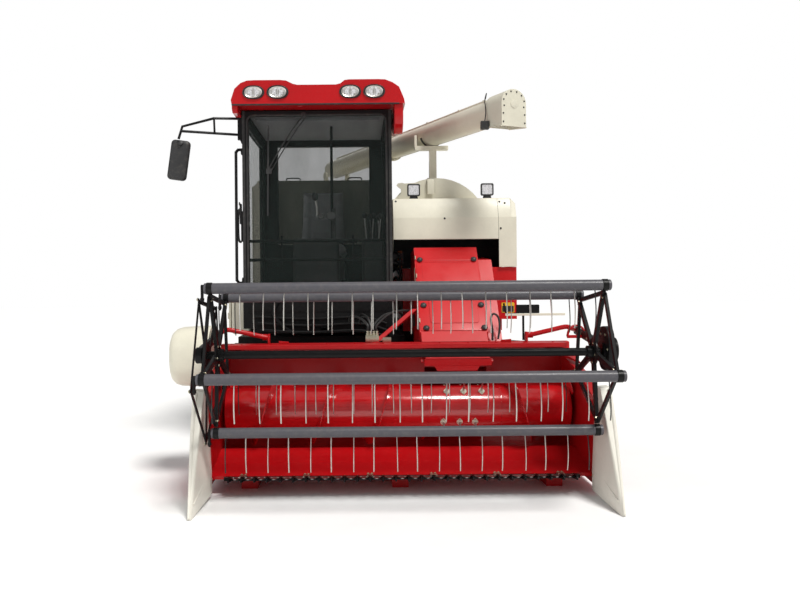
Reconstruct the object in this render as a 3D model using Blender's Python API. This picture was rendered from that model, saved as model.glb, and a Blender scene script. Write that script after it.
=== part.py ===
"""Crawler combine harvester, in metres: +Z up, front towards -Y, ground at Z = 0.

Each sub-part is one object in the collection "Combine_harvester". Pieces that
move hang from an empty on their joint's axis. Shapes joined or cut by Boolean
modifiers sit in the collection "Cutters".
"""

import math

import bmesh
import bpy
from mathutils import Matrix, Vector

# ---------------------------------------------------------------- dimensions
GAP = 0.0004  # between touching pieces

# undercarriage
TRACK_W = 0.42
TRACK_X = {"left": 0.77, "right": -0.51}
SPROCKET = (-0.32, 0.465, 0.22)  # Y, Z and radius of the belt's inner face
IDLER = (1.72, 0.315, 0.22)
ROLLER_R = 0.08
ROLLER_GAP = 0.010
ROLLERS = [0.10 + 0.35 * i for i in range(5)]
BELT_T = 0.035
LUG_H = 0.040
LUGS = 36

# header
HEADER_IN = (-0.92, 1.40)
SIDE_T = 0.055
LIFT_Y, LIFT_Z = -0.32, 1.42
AUGER_Y, AUGER_Z = -1.42, 0.44
AUGER_TUBE_R, AUGER_FLIGHT_R = 0.145, 0.236
WALL_Y = -1.175
BEAM_Z = 0.83
KNIFE_PITCH = 0.0762
FEEDER_X = (0.42, 0.905)

# reel
REEL_Y, REEL_Z, REEL_R = -2.09, 0.868, 0.4435
REEL_X = (-0.858, 1.378)
BAT_R = 0.030
BAT_ANGLES = [-11 + 72 * i for i in range(5)]  # up from forward, degrees
TINE_L = 0.232
RING_DROP = 0.06
REAR = REEL_R * math.cos(math.radians(11)) + BAT_R - REEL_Y
ARM_Y, ARM_Z = -1.175, 0.900

# cab
CAB_X = (-0.893, 0.252)
CAB_Y = (-0.70, 0.40)
CAB_Z = (1.165, 2.60)
PILLAR = 0.045

# unloading auger
COLUMN_X, COLUMN_Y = -0.25, 1.90
TUBE_Z, TUBE_R = 2.53, 0.097
TUBE_DIR = Vector((1.173, -2.56, 0.0)).normalized()
TUBE_L = 3.10

CREAM = ((0.62, 0.59, 0.49), 0.45, 0.0)
RED = ((0.50, 0.025, 0.030), 0.38, 0.0)
BLACK = ((0.02, 0.02, 0.021), 0.5, 0.0)
GREY = ((0.17, 0.175, 0.21), 0.45, 0.2)
STEEL = ((0.35, 0.35, 0.34), 0.4, 0.9)
RUBBER = ((0.025, 0.025, 0.025), 0.85, 0.0)
GLASS = ((0.03, 0.05, 0.045), 0.08, 0.0)

# ------------------------------------------------------------------ the scene
for old in list(bpy.data.objects):
    bpy.data.objects.remove(old, do_unlink=True)


def new_collection(name, hidden=False):
    made = bpy.data.collections.new(name)
    bpy.context.scene.collection.children.link(made)
    made.hide_render = hidden
    return made


PARTS = new_collection("Combine_harvester")
TOOLS = new_collection("Cutters", hidden=True)


def tool(mesh, name="shape"):
    obj = bpy.data.objects.new(name, mesh)
    obj.hide_render = True
    obj.display_type = "WIRE"
    TOOLS.objects.link(obj)
    return obj


def from_bmesh(bm, name="shape"):
    bmesh.ops.recalc_face_normals(bm, faces=bm.faces)
    mesh = bpy.data.meshes.new(name)
    bm.to_mesh(mesh)
    bm.free()
    return tool(mesh, name)


def box(x0, x1, y0, y1, z0, z1, bevel=0.0):
    bm = bmesh.new()
    size = Matrix.Diagonal((x1 - x0, y1 - y0, z1 - z0, 1.0))
    at = Matrix.Translation(((x0 + x1) / 2, (y0 + y1) / 2, (z0 + z1) / 2))
    bmesh.ops.create_cube(bm, size=1.0, matrix=at @ size)
    if bevel:
        bmesh.ops.bevel(
            bm, geom=list(bm.edges), offset=bevel, segments=1, affect="EDGES"
        )
    return from_bmesh(bm)


def rod(start, end, radius, sides=12, end_radius=None):
    """A cylinder or a cone from one point to another."""
    start, end = Vector(start), Vector(end)
    along = end - start
    turn = Vector((0, 0, 1)).rotation_difference(along.normalized()).to_matrix()
    at = Matrix.Translation((start + end) / 2) @ turn.to_4x4()
    bm = bmesh.new()
    bmesh.ops.create_cone(
        bm,
        cap_ends=True,
        segments=sides,
        radius1=radius,
        radius2=radius if end_radius is None else end_radius,
        depth=along.length,
        matrix=at,
    )
    return from_bmesh(bm)


PLANES = {
    "x": Matrix(((0, 0, 1, 0), (1, 0, 0, 0), (0, 1, 0, 0), (0, 0, 0, 1))),
    "y": Matrix(((1, 0, 0, 0), (0, 0, -1, 0), (0, 1, 0, 0), (0, 0, 0, 1))),
    "z": Matrix.Identity(4),
}


def curve_mesh(curve):
    """The welded mesh of a curve, in place of the curve."""
    made = bpy.data.objects.new("curve", curve)
    TOOLS.objects.link(made)
    graph = bpy.context.evaluated_depsgraph_get()
    mesh = bpy.data.meshes.new_from_object(made.evaluated_get(graph))
    bpy.data.objects.remove(made, do_unlink=True)
    bm = bmesh.new()
    bm.from_mesh(mesh)
    bmesh.ops.remove_doubles(bm, verts=bm.verts, dist=1e-5)
    bm.to_mesh(mesh)
    bm.free()
    return mesh


def plate(outline, plane, low, high):
    """A flat outline given thickness from low to high along its plane's axis.

    The outline is (Y, Z) for plane x, (X, Z) for plane y and (X, Y) for z.
    """
    curve = bpy.data.curves.new("outline", "CURVE")
    curve.dimensions = "2D"
    curve.fill_mode = "BOTH"
    curve.extrude = (high - low) / 2
    spline = curve.splines.new("POLY")
    spline.points.add(len(outline) - 1)
    for point, (u, v) in zip(spline.points, outline):
        point.co = (u, v, 0, 1)
    spline.use_cyclic_u = True
    mesh = curve_mesh(curve)
    shift = Vector((0, 0, 0))
    shift["xyz".index(plane)] = (low + high) / 2
    mesh.transform(Matrix.Translation(shift) @ PLANES[plane])
    bm = bmesh.new()
    bm.from_mesh(mesh)
    return from_bmesh(bm)


def tube(points, radius, resolution=2, closed=False):
    """A round bar along points."""
    curve = bpy.data.curves.new("tube", "CURVE")
    curve.dimensions = "3D"
    curve.bevel_depth = radius
    curve.bevel_resolution = resolution
    curve.use_fill_caps = True
    spline = curve.splines.new("POLY")
    spline.points.add(len(points) - 1)
    for point, place in zip(spline.points, points):
        point.co = (*place, 1)
    spline.use_cyclic_u = closed
    bm = bmesh.new()
    bm.from_mesh(curve_mesh(curve))
    return from_bmesh(bm)


def hull(points):
    """The convex body around points: for wedges between unlike ends."""
    bm = bmesh.new()
    for point in points:
        bm.verts.new(point)
    made = bmesh.ops.convex_hull(bm, input=list(bm.verts))
    inner = [v for v in made["geom_interior"] if isinstance(v, bmesh.types.BMVert)]
    if inner:
        bmesh.ops.delete(bm, geom=inner, context="VERTS")
    return from_bmesh(bm)


def material(name, look):
    colour, roughness, metallic = look
    made = bpy.data.materials.new(name)
    made.use_nodes = True
    shader = made.node_tree.nodes["Principled BSDF"]
    shader.inputs["Base Color"].default_value = (*colour, 1.0)
    shader.inputs["Roughness"].default_value = roughness
    shader.inputs["Metallic"].default_value = metallic
    if look is GLASS:
        shader.inputs["Alpha"].default_value = 0.35
    return made


def pivot(name, place, parent=None):
    """An empty on a joint's axis."""
    made = bpy.data.objects.new(name, None)
    made.empty_display_size = 0.1
    PARTS.objects.link(made)
    made.location = Vector(place)
    if parent is not None:
        made.parent = parent
        made.location -= parent.matrix_world.translation
    bpy.context.view_layer.update()
    return made


def part(name, look, shapes, cuts=(), parent=None, smooth=30.0):
    """One sub-part: the first shape, the others united with it, then the cuts."""
    base, *others = shapes
    TOOLS.objects.unlink(base)
    PARTS.objects.link(base)
    base.hide_render = False
    base.display_type = "TEXTURED"
    base.name = name
    base.data.name = name
    base.data.materials.append(material(name, look))
    base.data.shade_smooth()
    base.data.set_sharp_from_angle(angle=math.radians(smooth))
    for index, (other, operation) in enumerate(
        [(o, "UNION") for o in others] + [(c, "DIFFERENCE") for c in cuts]
    ):
        other.name = f"{name}_{operation.lower()}_{index}"
        modifier = base.modifiers.new(other.name, "BOOLEAN")
        modifier.operation = operation
        modifier.solver = "EXACT"
        modifier.object = other
    if parent is not None:
        base.parent = parent
        base.location = -parent.matrix_world.translation
        bpy.context.view_layer.update()
    return base


def arc(centre, radius, start, end, steps):
    """Points on a circle from one angle to another, in degrees."""
    return [
        (
            centre[0] + radius * math.cos(math.radians(start + (end - start) * i / steps)),
            centre[1] + radius * math.sin(math.radians(start + (end - start) * i / steps)),
        )
        for i in range(steps + 1)
    ]


# --------------------------------------------------------------- undercarriage
def belt_path(count):
    """Points and outward normals round the belt's inner face, evenly spaced."""
    circles = [SPROCKET, IDLER] + [(y, 0.075 + ROLLER_R, ROLLER_R) for y in ROLLERS]
    fine = []
    for step in range(1440):
        angle = 2 * math.pi * step / 1440
        way = (math.cos(angle), math.sin(angle))
        y, z, r = max(circles, key=lambda c: c[0] * way[0] + c[1] * way[1] + c[2])
        fine.append(((y + r * way[0], z + r * way[1]), way))
    ends = fine[1:] + fine[:1]
    steps = [math.dist(a[0], b[0]) for a, b in zip(fine, ends)]
    total, path, at, index = sum(steps), [], 0.0, 0
    for k in range(count):
        goal = total * k / count
        while at + steps[index] < goal:
            at += steps[index]
            index += 1
        t = (goal - at) / max(steps[index], 1e-9)
        (a, _), (b, _) = fine[index], ends[index]
        path.append((a[0] + (b[0] - a[0]) * t, a[1] + (b[1] - a[1]) * t))
    normals = []
    for k in range(count):
        (ay, az), (by, bz) = path[k - 1], path[(k + 1) % count]
        length = math.hypot(by - ay, bz - az)
        normals.append(((bz - az) / length, -(by - ay) / length))
    return path, normals


def track(name, x):
    path, normals = belt_path(LUGS * 4)
    outer = []
    for k, ((y, z), (ny, nz)) in enumerate(zip(path, normals)):
        out = BELT_T + (LUG_H if k % 4 in (1, 2) else 0.0)
        outer.append((y + ny * out, z + nz * out))
    bm = bmesh.new()
    rings = [
        [bm.verts.new((x - TRACK_W / 2, y, z)) for y, z in ring]
        for ring in (outer, path)
    ]
    side = []
    for k in range(len(path)):
        n = (k + 1) % len(path)
        side.append(bm.faces.new((rings[0][k], rings[0][n], rings[1][n], rings[1][k])))
    made = bmesh.ops.extrude_face_region(bm, geom=side)["geom"]
    moved = [v for v in made if isinstance(v, bmesh.types.BMVert)]
    bmesh.ops.translate(bm, verts=moved, vec=(TRACK_W, 0, 0))
    part(name, RUBBER, [from_bmesh(bm)])


for side, x in TRACK_X.items():
    inward = -1 if side == "left" else 1
    track(f"track_{side}", x)
    frame = [box(x - 0.07, x + 0.07, -0.02, 1.72, 0.20, 0.34)]
    frame += [
        rod((x - 0.15, y, 0.155), (x + 0.15, y, 0.155), ROLLER_R - ROLLER_GAP, 10)
        for y in ROLLERS
    ]
    frame.append(rod((x - 0.12, IDLER[0], IDLER[1]), (x + 0.12, IDLER[0], IDLER[1]), IDLER[2] - 0.005, 24))
    frame.append(box(x - 0.03, x + 0.03, 0.67, 0.73, 0.30, 0.55))
    frame.append(rod((x - 0.09, 0.70, 0.545), (x + 0.09, 0.70, 0.545), 0.05, 10))
    part(f"track_frame_{side}", BLACK, frame)
    part(
        f"sprocket_{side}",
        STEEL,
        [
            rod((x - 0.03, SPROCKET[0], SPROCKET[1]), (x + 0.03, SPROCKET[0], SPROCKET[1]), SPROCKET[2] - 0.006, 24),
            rod(
                (x + inward * 0.2, SPROCKET[0], SPROCKET[1]),
                (x - inward * 0.07, SPROCKET[0], SPROCKET[1]),
                0.09,
                16,
            ),
        ],
    )

INNER = (TRACK_X["right"] + 0.2 + GAP, TRACK_X["left"] - 0.2 - GAP)
part(
    "drive_axle",
    BLACK,
    [
        rod((INNER[0], SPROCKET[0], SPROCKET[1]), (INNER[1], SPROCKET[0], SPROCKET[1]), 0.075, 16),
        box(-0.08, 0.30, -0.50, -0.12, 0.32, 0.7996, 0.03),
    ],
)

BEAM_IN = (TRACK_X["right"] + 0.07 + GAP, TRACK_X["left"] - 0.07 - GAP)
part(
    "chassis_frame",
    BLACK,
    [
        box(-0.95, 0.345, -0.60, 2.05, 0.80, 0.86),
        box(0.30, 1.15, -0.05, 2.05, 0.80, 0.86),
        box(-0.27, -0.17, 0.10, 2.00, 0.26, 0.82),
        box(0.43, 0.53, 0.10, 2.00, 0.26, 0.82),
        box(BEAM_IN[0], BEAM_IN[1], 0.28, 0.38, 0.22, 0.32),
        box(BEAM_IN[0], BEAM_IN[1], 1.22, 1.32, 0.22, 0.32),
        box(-0.20, 0.46, 1.92, 1.98, 0.30, 0.81),
        box(-0.20, 0.46, 0.12, 0.18, 0.30, 0.81),
    ],
)

# ---------------------------------------------------------------- main bodies
BODY_FRONT = -0.12
part(
    "thresher_lower",
    RED,
    [box(0.36, 1.19, BODY_FRONT, 2.05, 0.8604, 1.385)],
    [box(0.45, 0.88, BODY_FRONT - 0.1, 0.20, 1.10, 1.5), box(0.45, 1.05, 1.75, 2.15, 0.95, 1.5)],
)
part(
    "thresher_upper",
    CREAM,
    [
        box(0.30, 1.205, BODY_FRONT, 2.05, 1.3854, 1.93, 0.03),
        rod((0.62, -0.38, 1.69), (0.62, 1.55, 1.69), 0.42, 40),
    ],
    [
        box(0.0, 1.3, -0.5, BODY_FRONT, 1.0, 1.7854),
        box(0.44, 0.89, -0.5, 0.20, 1.2, 1.60),
        box(0.45, 1.05, 1.75, 2.15, 1.2, 1.62),
        box(0.0, 0.2996, 0.45, 1.7, 1.0, 2.3),
        box(0.0, 0.262, -0.6, 0.5, 1.0, 2.3),
        box(0.0, 1.5, -1.0, 2.5, 1.0, 1.3854),
    ],
)
part(
    "front_hood",
    CREAM,
    [
        plate(
            [(0.262, 1.602), (1.078, 1.602), (1.078, 1.385), (1.217, 1.385), (1.217, 1.885), (1.175, 1.928), (0.262, 1.928)],
            "y", -0.62, -0.595,
        ),
        box(0.262, 1.19, -0.62, BODY_FRONT - GAP, 1.905, 1.928),
        box(1.195, 1.217, -0.62, BODY_FRONT - GAP, 1.385, 1.90),
        box(0.262, 0.285, -0.62, -0.13, 1.70, 1.92),
    ],
    [rod((0.62, -0.40, 1.69), (0.62, 0.5, 1.69), 0.4204, 40)],
)
part(
    "side_panel_front",
    RED,
    [
        box(1.195, 1.217, -0.595, BODY_FRONT - GAP, 0.98, 1.3846),
        box(1.03, 1.217, -0.60, -0.575, 0.98, 1.3846),
    ],
)
part(
    "grain_tank",
    CREAM,
    [
        plate([(-0.98, 0.8604), (0.2992, 0.8604), (0.2992, 2.15), (0.24, 2.21), (-0.92, 2.21), (-0.98, 2.15)], "y", 0.46, 2.03),
    ],
    [rod((COLUMN_X, COLUMN_Y, 0.5), (COLUMN_X, COLUMN_Y, 3.0), 0.20, 24),
     box(COLUMN_X - 0.2, COLUMN_X + 0.2, COLUMN_Y, 2.5, 0.5, 3.0)],
)
part("engine", BLACK, [box(-0.85, 0.20, -0.28, 0.38, 0.8604, 1.085, 0.02)])
part(
    "engine_side_housing",
    CREAM,
    [box(-1.05, -0.895, -0.31, 0.4596, 0.8604, 1.155, 0.015)],
    [box(-1.10, -0.93, -0.26, 0.41, 0.905, 1.11)],
)
part(
    "fuel_tank",
    BLACK,
    [box(-0.93, -0.40, 2.0304, 2.28, 0.90, 1.30, 0.03), box(-0.93, -0.40, 1.99, 2.30, 0.8604, 0.90)],
    [box(-1.0, 0.0, 1.9, 2.0304, 0.80, 1.0)],
)
part(
    "step",
    BLACK,
    [
        box(-1.02, -0.76, -0.58, -0.34, 0.55, 0.575),
        box(-1.0, -0.97, -0.475, -0.445, 0.56, 0.7996),
        box(-0.82, -0.79, -0.475, -0.445, 0.56, 0.7996),
        box(-1.0, -0.79, -0.49, -0.43, 0.78, 0.7996),
    ],
)
part(
    "straw_hood",
    RED,
    [plate([(2.0504, 0.95), (2.0504, 1.84), (2.20, 1.84), (2.44, 1.55), (2.44, 1.20), (2.30, 0.95)], "x", 0.40, 1.16)],
    [plate([(1.9, 0.90), (1.9, 1.62), (2.17, 1.62), (2.41, 1.40), (2.41, 1.23), (2.50, 1.10), (2.27, 0.8)], "x", 0.43, 1.13)],
)
# ------------------------------------------------------------------- the cab
X0, X1 = CAB_X
Y0, Y1 = CAB_Y
Z0, Z1 = CAB_Z
part(
    "cab_base",
    BLACK,
    [
        box(X0, X1, Y0, Y1, 1.0904, Z0 - GAP),
        box(X0, X1, Y0, Y0 + 0.03, 0.93, 1.12),
        box(X1 - 0.03, X1, Y0, Y1, 0.8604, 1.12),
    ],
)
DOOR_Y, DOOR_Z = (Y0 + 0.085, Y1 - 0.055), (Z0 + 0.03, Z1 - 0.06)
part(
    "cab_frame",
    BLACK,
    [box(X0, X1, Y0, Y1, Z0, Z1, 0.012)],
    [
        box(X0 + PILLAR, X1 - PILLAR, Y0 + PILLAR, Y1 - PILLAR, Z0 - 0.1, Z1 + 0.1),
        box(X0 + PILLAR, X1 - PILLAR, Y0 - 0.1, Y0 + 0.1, Z0 + 0.035, Z1 - 0.045),
        box(X0 - 0.1, X0 + 0.1, DOOR_Y[0] - 0.006, DOOR_Y[1] + 0.006, DOOR_Z[0] - 0.006, DOOR_Z[1] + 0.006),
        box(X1 - 0.1, X1 + 0.1, Y0 + 0.08, Y1 - 0.07, Z0 + 0.10, Z1 - 0.08),
        box(X0 + 0.16, X1 - 0.16, Y1 - 0.1, Y1 + 0.1, Z0 + 0.45, Z1 - 0.10),
    ],
)
part("windscreen", GLASS, [box(X0 + PILLAR + GAP, X1 - PILLAR - GAP, Y0 + 0.006, Y0 + 0.012, Z0 + 0.035 + GAP, Z1 - 0.045 - GAP)])
part("side_window", GLASS, [box(X1 - 0.012, X1 - 0.006, Y0 + 0.08 + GAP, Y1 - 0.07 - GAP, Z0 + 0.10 + GAP, Z1 - 0.08 - GAP)])
part("rear_window", GLASS, [box(X0 + 0.16 + GAP, X1 - 0.16 - GAP, Y1 - 0.012, Y1 - 0.006, Z0 + 0.45 + GAP, Z1 - 0.10 - GAP)])

DOOR_HINGE = pivot("door_hinge", (X0 - 0.010, DOOR_Y[1] + 0.006, 1.9))
part(
    "cab_door",
    BLACK,
    [
        box(X0, X0 + 0.035, *DOOR_Y, *DOOR_Z),
        box(X0 - 0.030, X0 + 0.01, DOOR_Y[0] + 0.02, DOOR_Y[0] + 0.05, 1.60, 1.84, 0.008),
    ],
    [box(X0 - 0.1, X0 + 0.1, DOOR_Y[0] + 0.06, DOOR_Y[1] - 0.06, DOOR_Z[0] + 0.07, DOOR_Z[1] - 0.06)],
    parent=DOOR_HINGE,
)
part(
    "door_glass",
    GLASS,
    [box(X0 + 0.014, X0 + 0.020, DOOR_Y[0] + 0.06 + GAP, DOOR_Y[1] - 0.06 - GAP, DOOR_Z[0] + 0.07 + GAP, DOOR_Z[1] - 0.06 - GAP)],
    parent=DOOR_HINGE,
)

# the roof: two lobes with a lower valley, side skirt on the tank-free side
ROOF = [
    (-0.955, 2.6006), (-0.97, 2.70), (-0.93, 2.755), (-0.87, 2.785), (-0.57, 2.787), (-0.47, 2.745),
    (-0.18, 2.745), (-0.09, 2.787), (0.16, 2.787), (0.27, 2.745), (0.335, 2.66), (0.325, 2.6006),
]
part(
    "cab_roof",
    RED,
    [
        plate(ROOF, "y", -0.87, 0.40),
        plate([(-0.62, 2.66), (0.24, 2.66), (0.24, 2.40), (0.10, 2.40)], "x", 0.266, 0.318),
    ],
    [
        plate([(-0.90, 2.78), (-0.80, 2.85), (-1.0, 2.9)], "x", -1.1, 0.6),
        plate([(0.18, 0.50), (0.45, 0.50), (0.45, 0.15)], "z", 2.2, 2.9),
    ],
)
part(
    "seat",
    BLACK,
    [
        box(-0.56, -0.08, -0.20, 0.26, 1.52, 1.64, 0.04),
        hull([(x, y, z) for x in (-0.52, -0.12) for y, z in ((0.16, 1.58), (0.26, 1.58), (0.22, 2.10), (0.31, 2.08))]),
        box(-0.50, -0.14, -0.14, 0.22, Z0, 1.55),
    ],
)
part(
    "side_console",
    BLACK,
    [
        box(0.02, 0.195, -0.45, 0.28, Z0, 1.62, 0.02),
        tube([(0.07, -0.34, 1.58), (0.07, -0.37, 1.80)], 0.014),
        tube([(0.14, -0.20, 1.58), (0.14, -0.22, 1.76)], 0.014),
    ],
)
part(
    "steering_console",
    BLACK,
    [
        box(-0.52, -0.16, -0.60, -0.50, Z0, 1.62, 0.02),
        tube([(-0.70, -0.55, 1.60), (-0.02, -0.55, 1.60)], 0.016),
        tube([(-0.20, -0.55, 1.58), (-0.20, -0.50, 1.86)], 0.013),
    ],
)
part(
    "grab_rail",
    BLACK,
    [tube([(X0 - GAP, -0.68, 2.30), (-0.925, -0.68, 2.30), (-0.94, -0.69, 2.28), (-0.94, -0.70, 1.30), (-0.925, -0.68, 1.28), (X0 - GAP, -0.68, 1.28)], 0.012)],
)
part(
    "mirror_arm",
    BLACK,
    [
        box(-0.93, X0 - GAP, -0.665, -0.635, 2.38, 2.56),
        tube([(-0.91, -0.65, 2.545), (-1.10, -0.72, 2.535), (-1.335, -0.745, 2.47), (-1.365, -0.745, 2.375)], 0.010),
        tube([(-0.91, -0.65, 2.42), (-1.345, -0.745, 2.435)], 0.010),
        tube([(-1.10, -0.72, 2.54), (-1.10, -0.698, 2.42)], 0.008),
    ],
)
part(
    "mirror_head",
    BLACK,
    [hull([(x, y, z) for x, z in ((-1.425, 2.385), (-1.272, 2.365), (-1.315, 2.055), (-1.455, 2.085), (-1.473, 2.11), (-1.300, 2.375)) for y in (-0.735, -0.690)])],
    [rod((-1.365, -0.745, 2.30), (-1.365, -0.745, 2.50), 0.0104)],
)
part(
    "cradle",
    STEEL,
    [
        box(0.60, 0.66, -0.05, 0.01, 2.1104, 2.42),
        box(0.478, 0.76, -0.055, 0.015, 2.395, 2.4280),
        box(0.474, 0.494, -0.052, 0.012, 2.40, 2.52),
    ],
)

# -------------------------------------------------------------- access doors
SIDE_DOOR = pivot("side_door_hinge", (1.219, 0.02, 1.3))
part(
    "side_door",
    CREAM,
    [box(1.2105, 1.227, 0.03, 1.45, 1.02, 1.86, 0.004)],
    parent=SIDE_DOOR,
)
RADIATOR_DOOR = pivot("radiator_hinge", (-1.071, 0.44, 1.0))
part(
    "radiator_door",
    CREAM,
    [box(-1.071, -1.0555, -0.295, 0.43, 0.88, 1.135, 0.004)],
    parent=RADIATOR_DOOR,
)
DEFLECTOR = pivot("deflector_hinge", (0.78, 2.474, 1.50))
part(
    "straw_deflector",
    RED,
    [plate([(2.462, 1.515), (2.480, 1.515), (REAR, 1.00), (REAR - 0.015, 1.00), (2.462, 1.485)], "x", 0.42, 1.14)],
    parent=DEFLECTOR,
)

# ----------------------------------------------------------- unloading auger
TURN = pivot("unload_turn", (COLUMN_X, COLUMN_Y, 2.3))
ACROSS = Vector((-TUBE_DIR.y, TUBE_DIR.x, 0.0))
HINGE_Z = 2.44


def on_tube(along, up=0.0, across=0.0):
    return Vector((COLUMN_X, COLUMN_Y, TUBE_Z + up)) + TUBE_DIR * along + ACROSS * across


part(
    "auger_column",
    STEEL,
    [
        rod((COLUMN_X, COLUMN_Y, 0.8604), (COLUMN_X, COLUMN_Y, 2.29), 0.115, 20),
        rod((COLUMN_X, COLUMN_Y, 2.25), (COLUMN_X, COLUMN_Y, 2.29), 0.15, 20),
    ],
)
part(
    "unload_turret",
    STEEL,
    [
        rod((COLUMN_X, COLUMN_Y, 2.296), (COLUMN_X, COLUMN_Y, 2.34), 0.15, 20),
        rod((COLUMN_X, COLUMN_Y, 2.32), (COLUMN_X, COLUMN_Y, 2.355), 0.115, 20),
        rod(on_tube(0, -0.09, -0.141), on_tube(0, -0.09, -0.122), 0.045, 14),
        rod(on_tube(0, -0.09, 0.122), on_tube(0, -0.09, 0.141), 0.045, 14),
        hull([on_tube(a, u, c) for a in (-0.03, 0.03) for u, c in ((-0.205, 0.095), (-0.205, 0.132), (-0.08, 0.118), (-0.08, 0.136))]),
        hull([on_tube(a, u, -c) for a in (-0.03, 0.03) for u, c in ((-0.205, 0.095), (-0.205, 0.132), (-0.08, 0.118), (-0.08, 0.136))]),
    ],
    parent=TURN,
)
LIFT = pivot("unload_lift", (COLUMN_X, COLUMN_Y, HINGE_Z), parent=TURN)
part(
    "unload_tube",
    STEEL,
    [
        rod(on_tube(-0.10), on_tube(TUBE_L), TUBE_R, 20),
        rod(on_tube(2.42), on_tube(2.45), 0.125, 20),
        rod(on_tube(0, -0.09, -0.110), on_tube(0, -0.09, 0.110), 0.03, 12),
        rod(on_tube(-0.06), on_tube(0.08), 0.108, 20),
    ],
    parent=LIFT,
)
part(
    "unload_spout",
    BLACK,
    [hull([on_tube(a, u, c) for a, u, c in (
        (TUBE_L + GAP, 0.12, -0.05), (TUBE_L + GAP, 0.12, 0.05), (TUBE_L + 0.17, 0.12, -0.05), (TUBE_L + 0.17, 0.12, 0.05),
        (TUBE_L + GAP, 0.07, -0.10), (TUBE_L + GAP, 0.07, 0.10), (TUBE_L + 0.17, 0.07, -0.10), (TUBE_L + 0.17, 0.07, 0.10),
        (TUBE_L + GAP, -0.16, -0.11), (TUBE_L + GAP, -0.16, 0.11), (TUBE_L + 0.20, -0.16, -0.11), (TUBE_L + 0.20, -0.16, 0.11))])],
    [hull([on_tube(a, u, c) for a, u, c in (
        (TUBE_L + 0.02, 0.05, -0.08), (TUBE_L + 0.02, 0.05, 0.08), (TUBE_L + 0.15, 0.05, -0.08), (TUBE_L + 0.15, 0.05, 0.08),
        (TUBE_L + 0.02, -0.2, -0.092), (TUBE_L + 0.02, -0.2, 0.092), (TUBE_L + 0.185, -0.2, -0.092), (TUBE_L + 0.185, -0.2, 0.092))])],
    parent=LIFT,
)

# ------------------------------------------------------------------ the header
HEADER = pivot("header_hinge", ((FEEDER_X[0] + FEEDER_X[1]) / 2, LIFT_Y, LIFT_Z))
HX0, HX1 = HEADER_IN
part(
    "feeder_house",
    RED,
    [
        plate([(-1.12, 0.92), (-0.60, 1.54), (-0.20, 1.50), (-0.20, 1.06), (-0.40, 0.90), (-1.12, 0.15)], "x", *FEEDER_X),
    ],
    [plate([(-1.30, 0.70), (-1.12, 0.885), (-0.59, 1.505), (-0.10, 1.47), (-0.10, 1.10), (-0.42, 0.93), (-1.12, 0.20), (-1.30, 0.20)], "x", FEEDER_X[0] + 0.02, FEEDER_X[1] - 0.02)],
    parent=HEADER,
)
part(
    "feeder_drive_cover",
    RED,
    [plate([(-1.10, 0.84), (-0.66, 1.44), (-0.30, 1.47), (-0.24, 1.25), (-0.50, 1.05), (-1.10, 0.44)], "x", FEEDER_X[1] + GAP, 1.010)],
    parent=HEADER,
)

FLOOR_ARC = arc((AUGER_Y, AUGER_Z), AUGER_FLIGHT_R + 0.022, 250, 330, 8)
FLOOR_UNDER = arc((AUGER_Y, AUGER_Z), AUGER_FLIGHT_R + 0.045, 325, 250, 8)
SIDE = [(-1.945, 0.05), (-1.945, 0.56), (-1.60, 0.69), (WALL_Y + 0.03, 0.78), (WALL_Y + 0.03, 0.16), (-1.40, 0.05)]
part(
    "header_trough",
    RED,
    [
        plate(
            [(-1.895, 0.098), (-1.895, 0.118), (-1.70, 0.150)] + FLOOR_ARC
            + [(WALL_Y, 0.36), (WALL_Y, 0.80), (WALL_Y + 0.03, 0.80), (WALL_Y + 0.03, 0.34)]
            + FLOOR_UNDER + [(-1.70, 0.125)],
            "x", HX0 - 0.01, HX1 + 0.01,
        ),
        plate(SIDE, "x", HX0 - SIDE_T, HX0),
        plate(SIDE, "x", HX1, HX1 + SIDE_T),
        *[
            plate([(-1.75, 0.0), (-1.75, 0.13), (-1.70, 0.138), (-1.50, 0.187), (-1.40, 0.17), (-1.40, 0.0)], "x", x, x + 0.1)
            for x in (-0.75, 0.19, 1.15)
        ],
    ],
    [box(FEEDER_X[0] + 0.025, FEEDER_X[1] - 0.025, -1.30, -1.0, 0.24, 0.68)],
    parent=HEADER,
)


def arm_bracket(x):
    return plate(
        [(-1.205, 0.84), (-1.205, 0.88), (-1.195, 0.922), (-1.155, 0.922), (-1.145, 0.88), (-1.145, 0.84)], "x", x - 0.006, x + 0.006
    )


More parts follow.
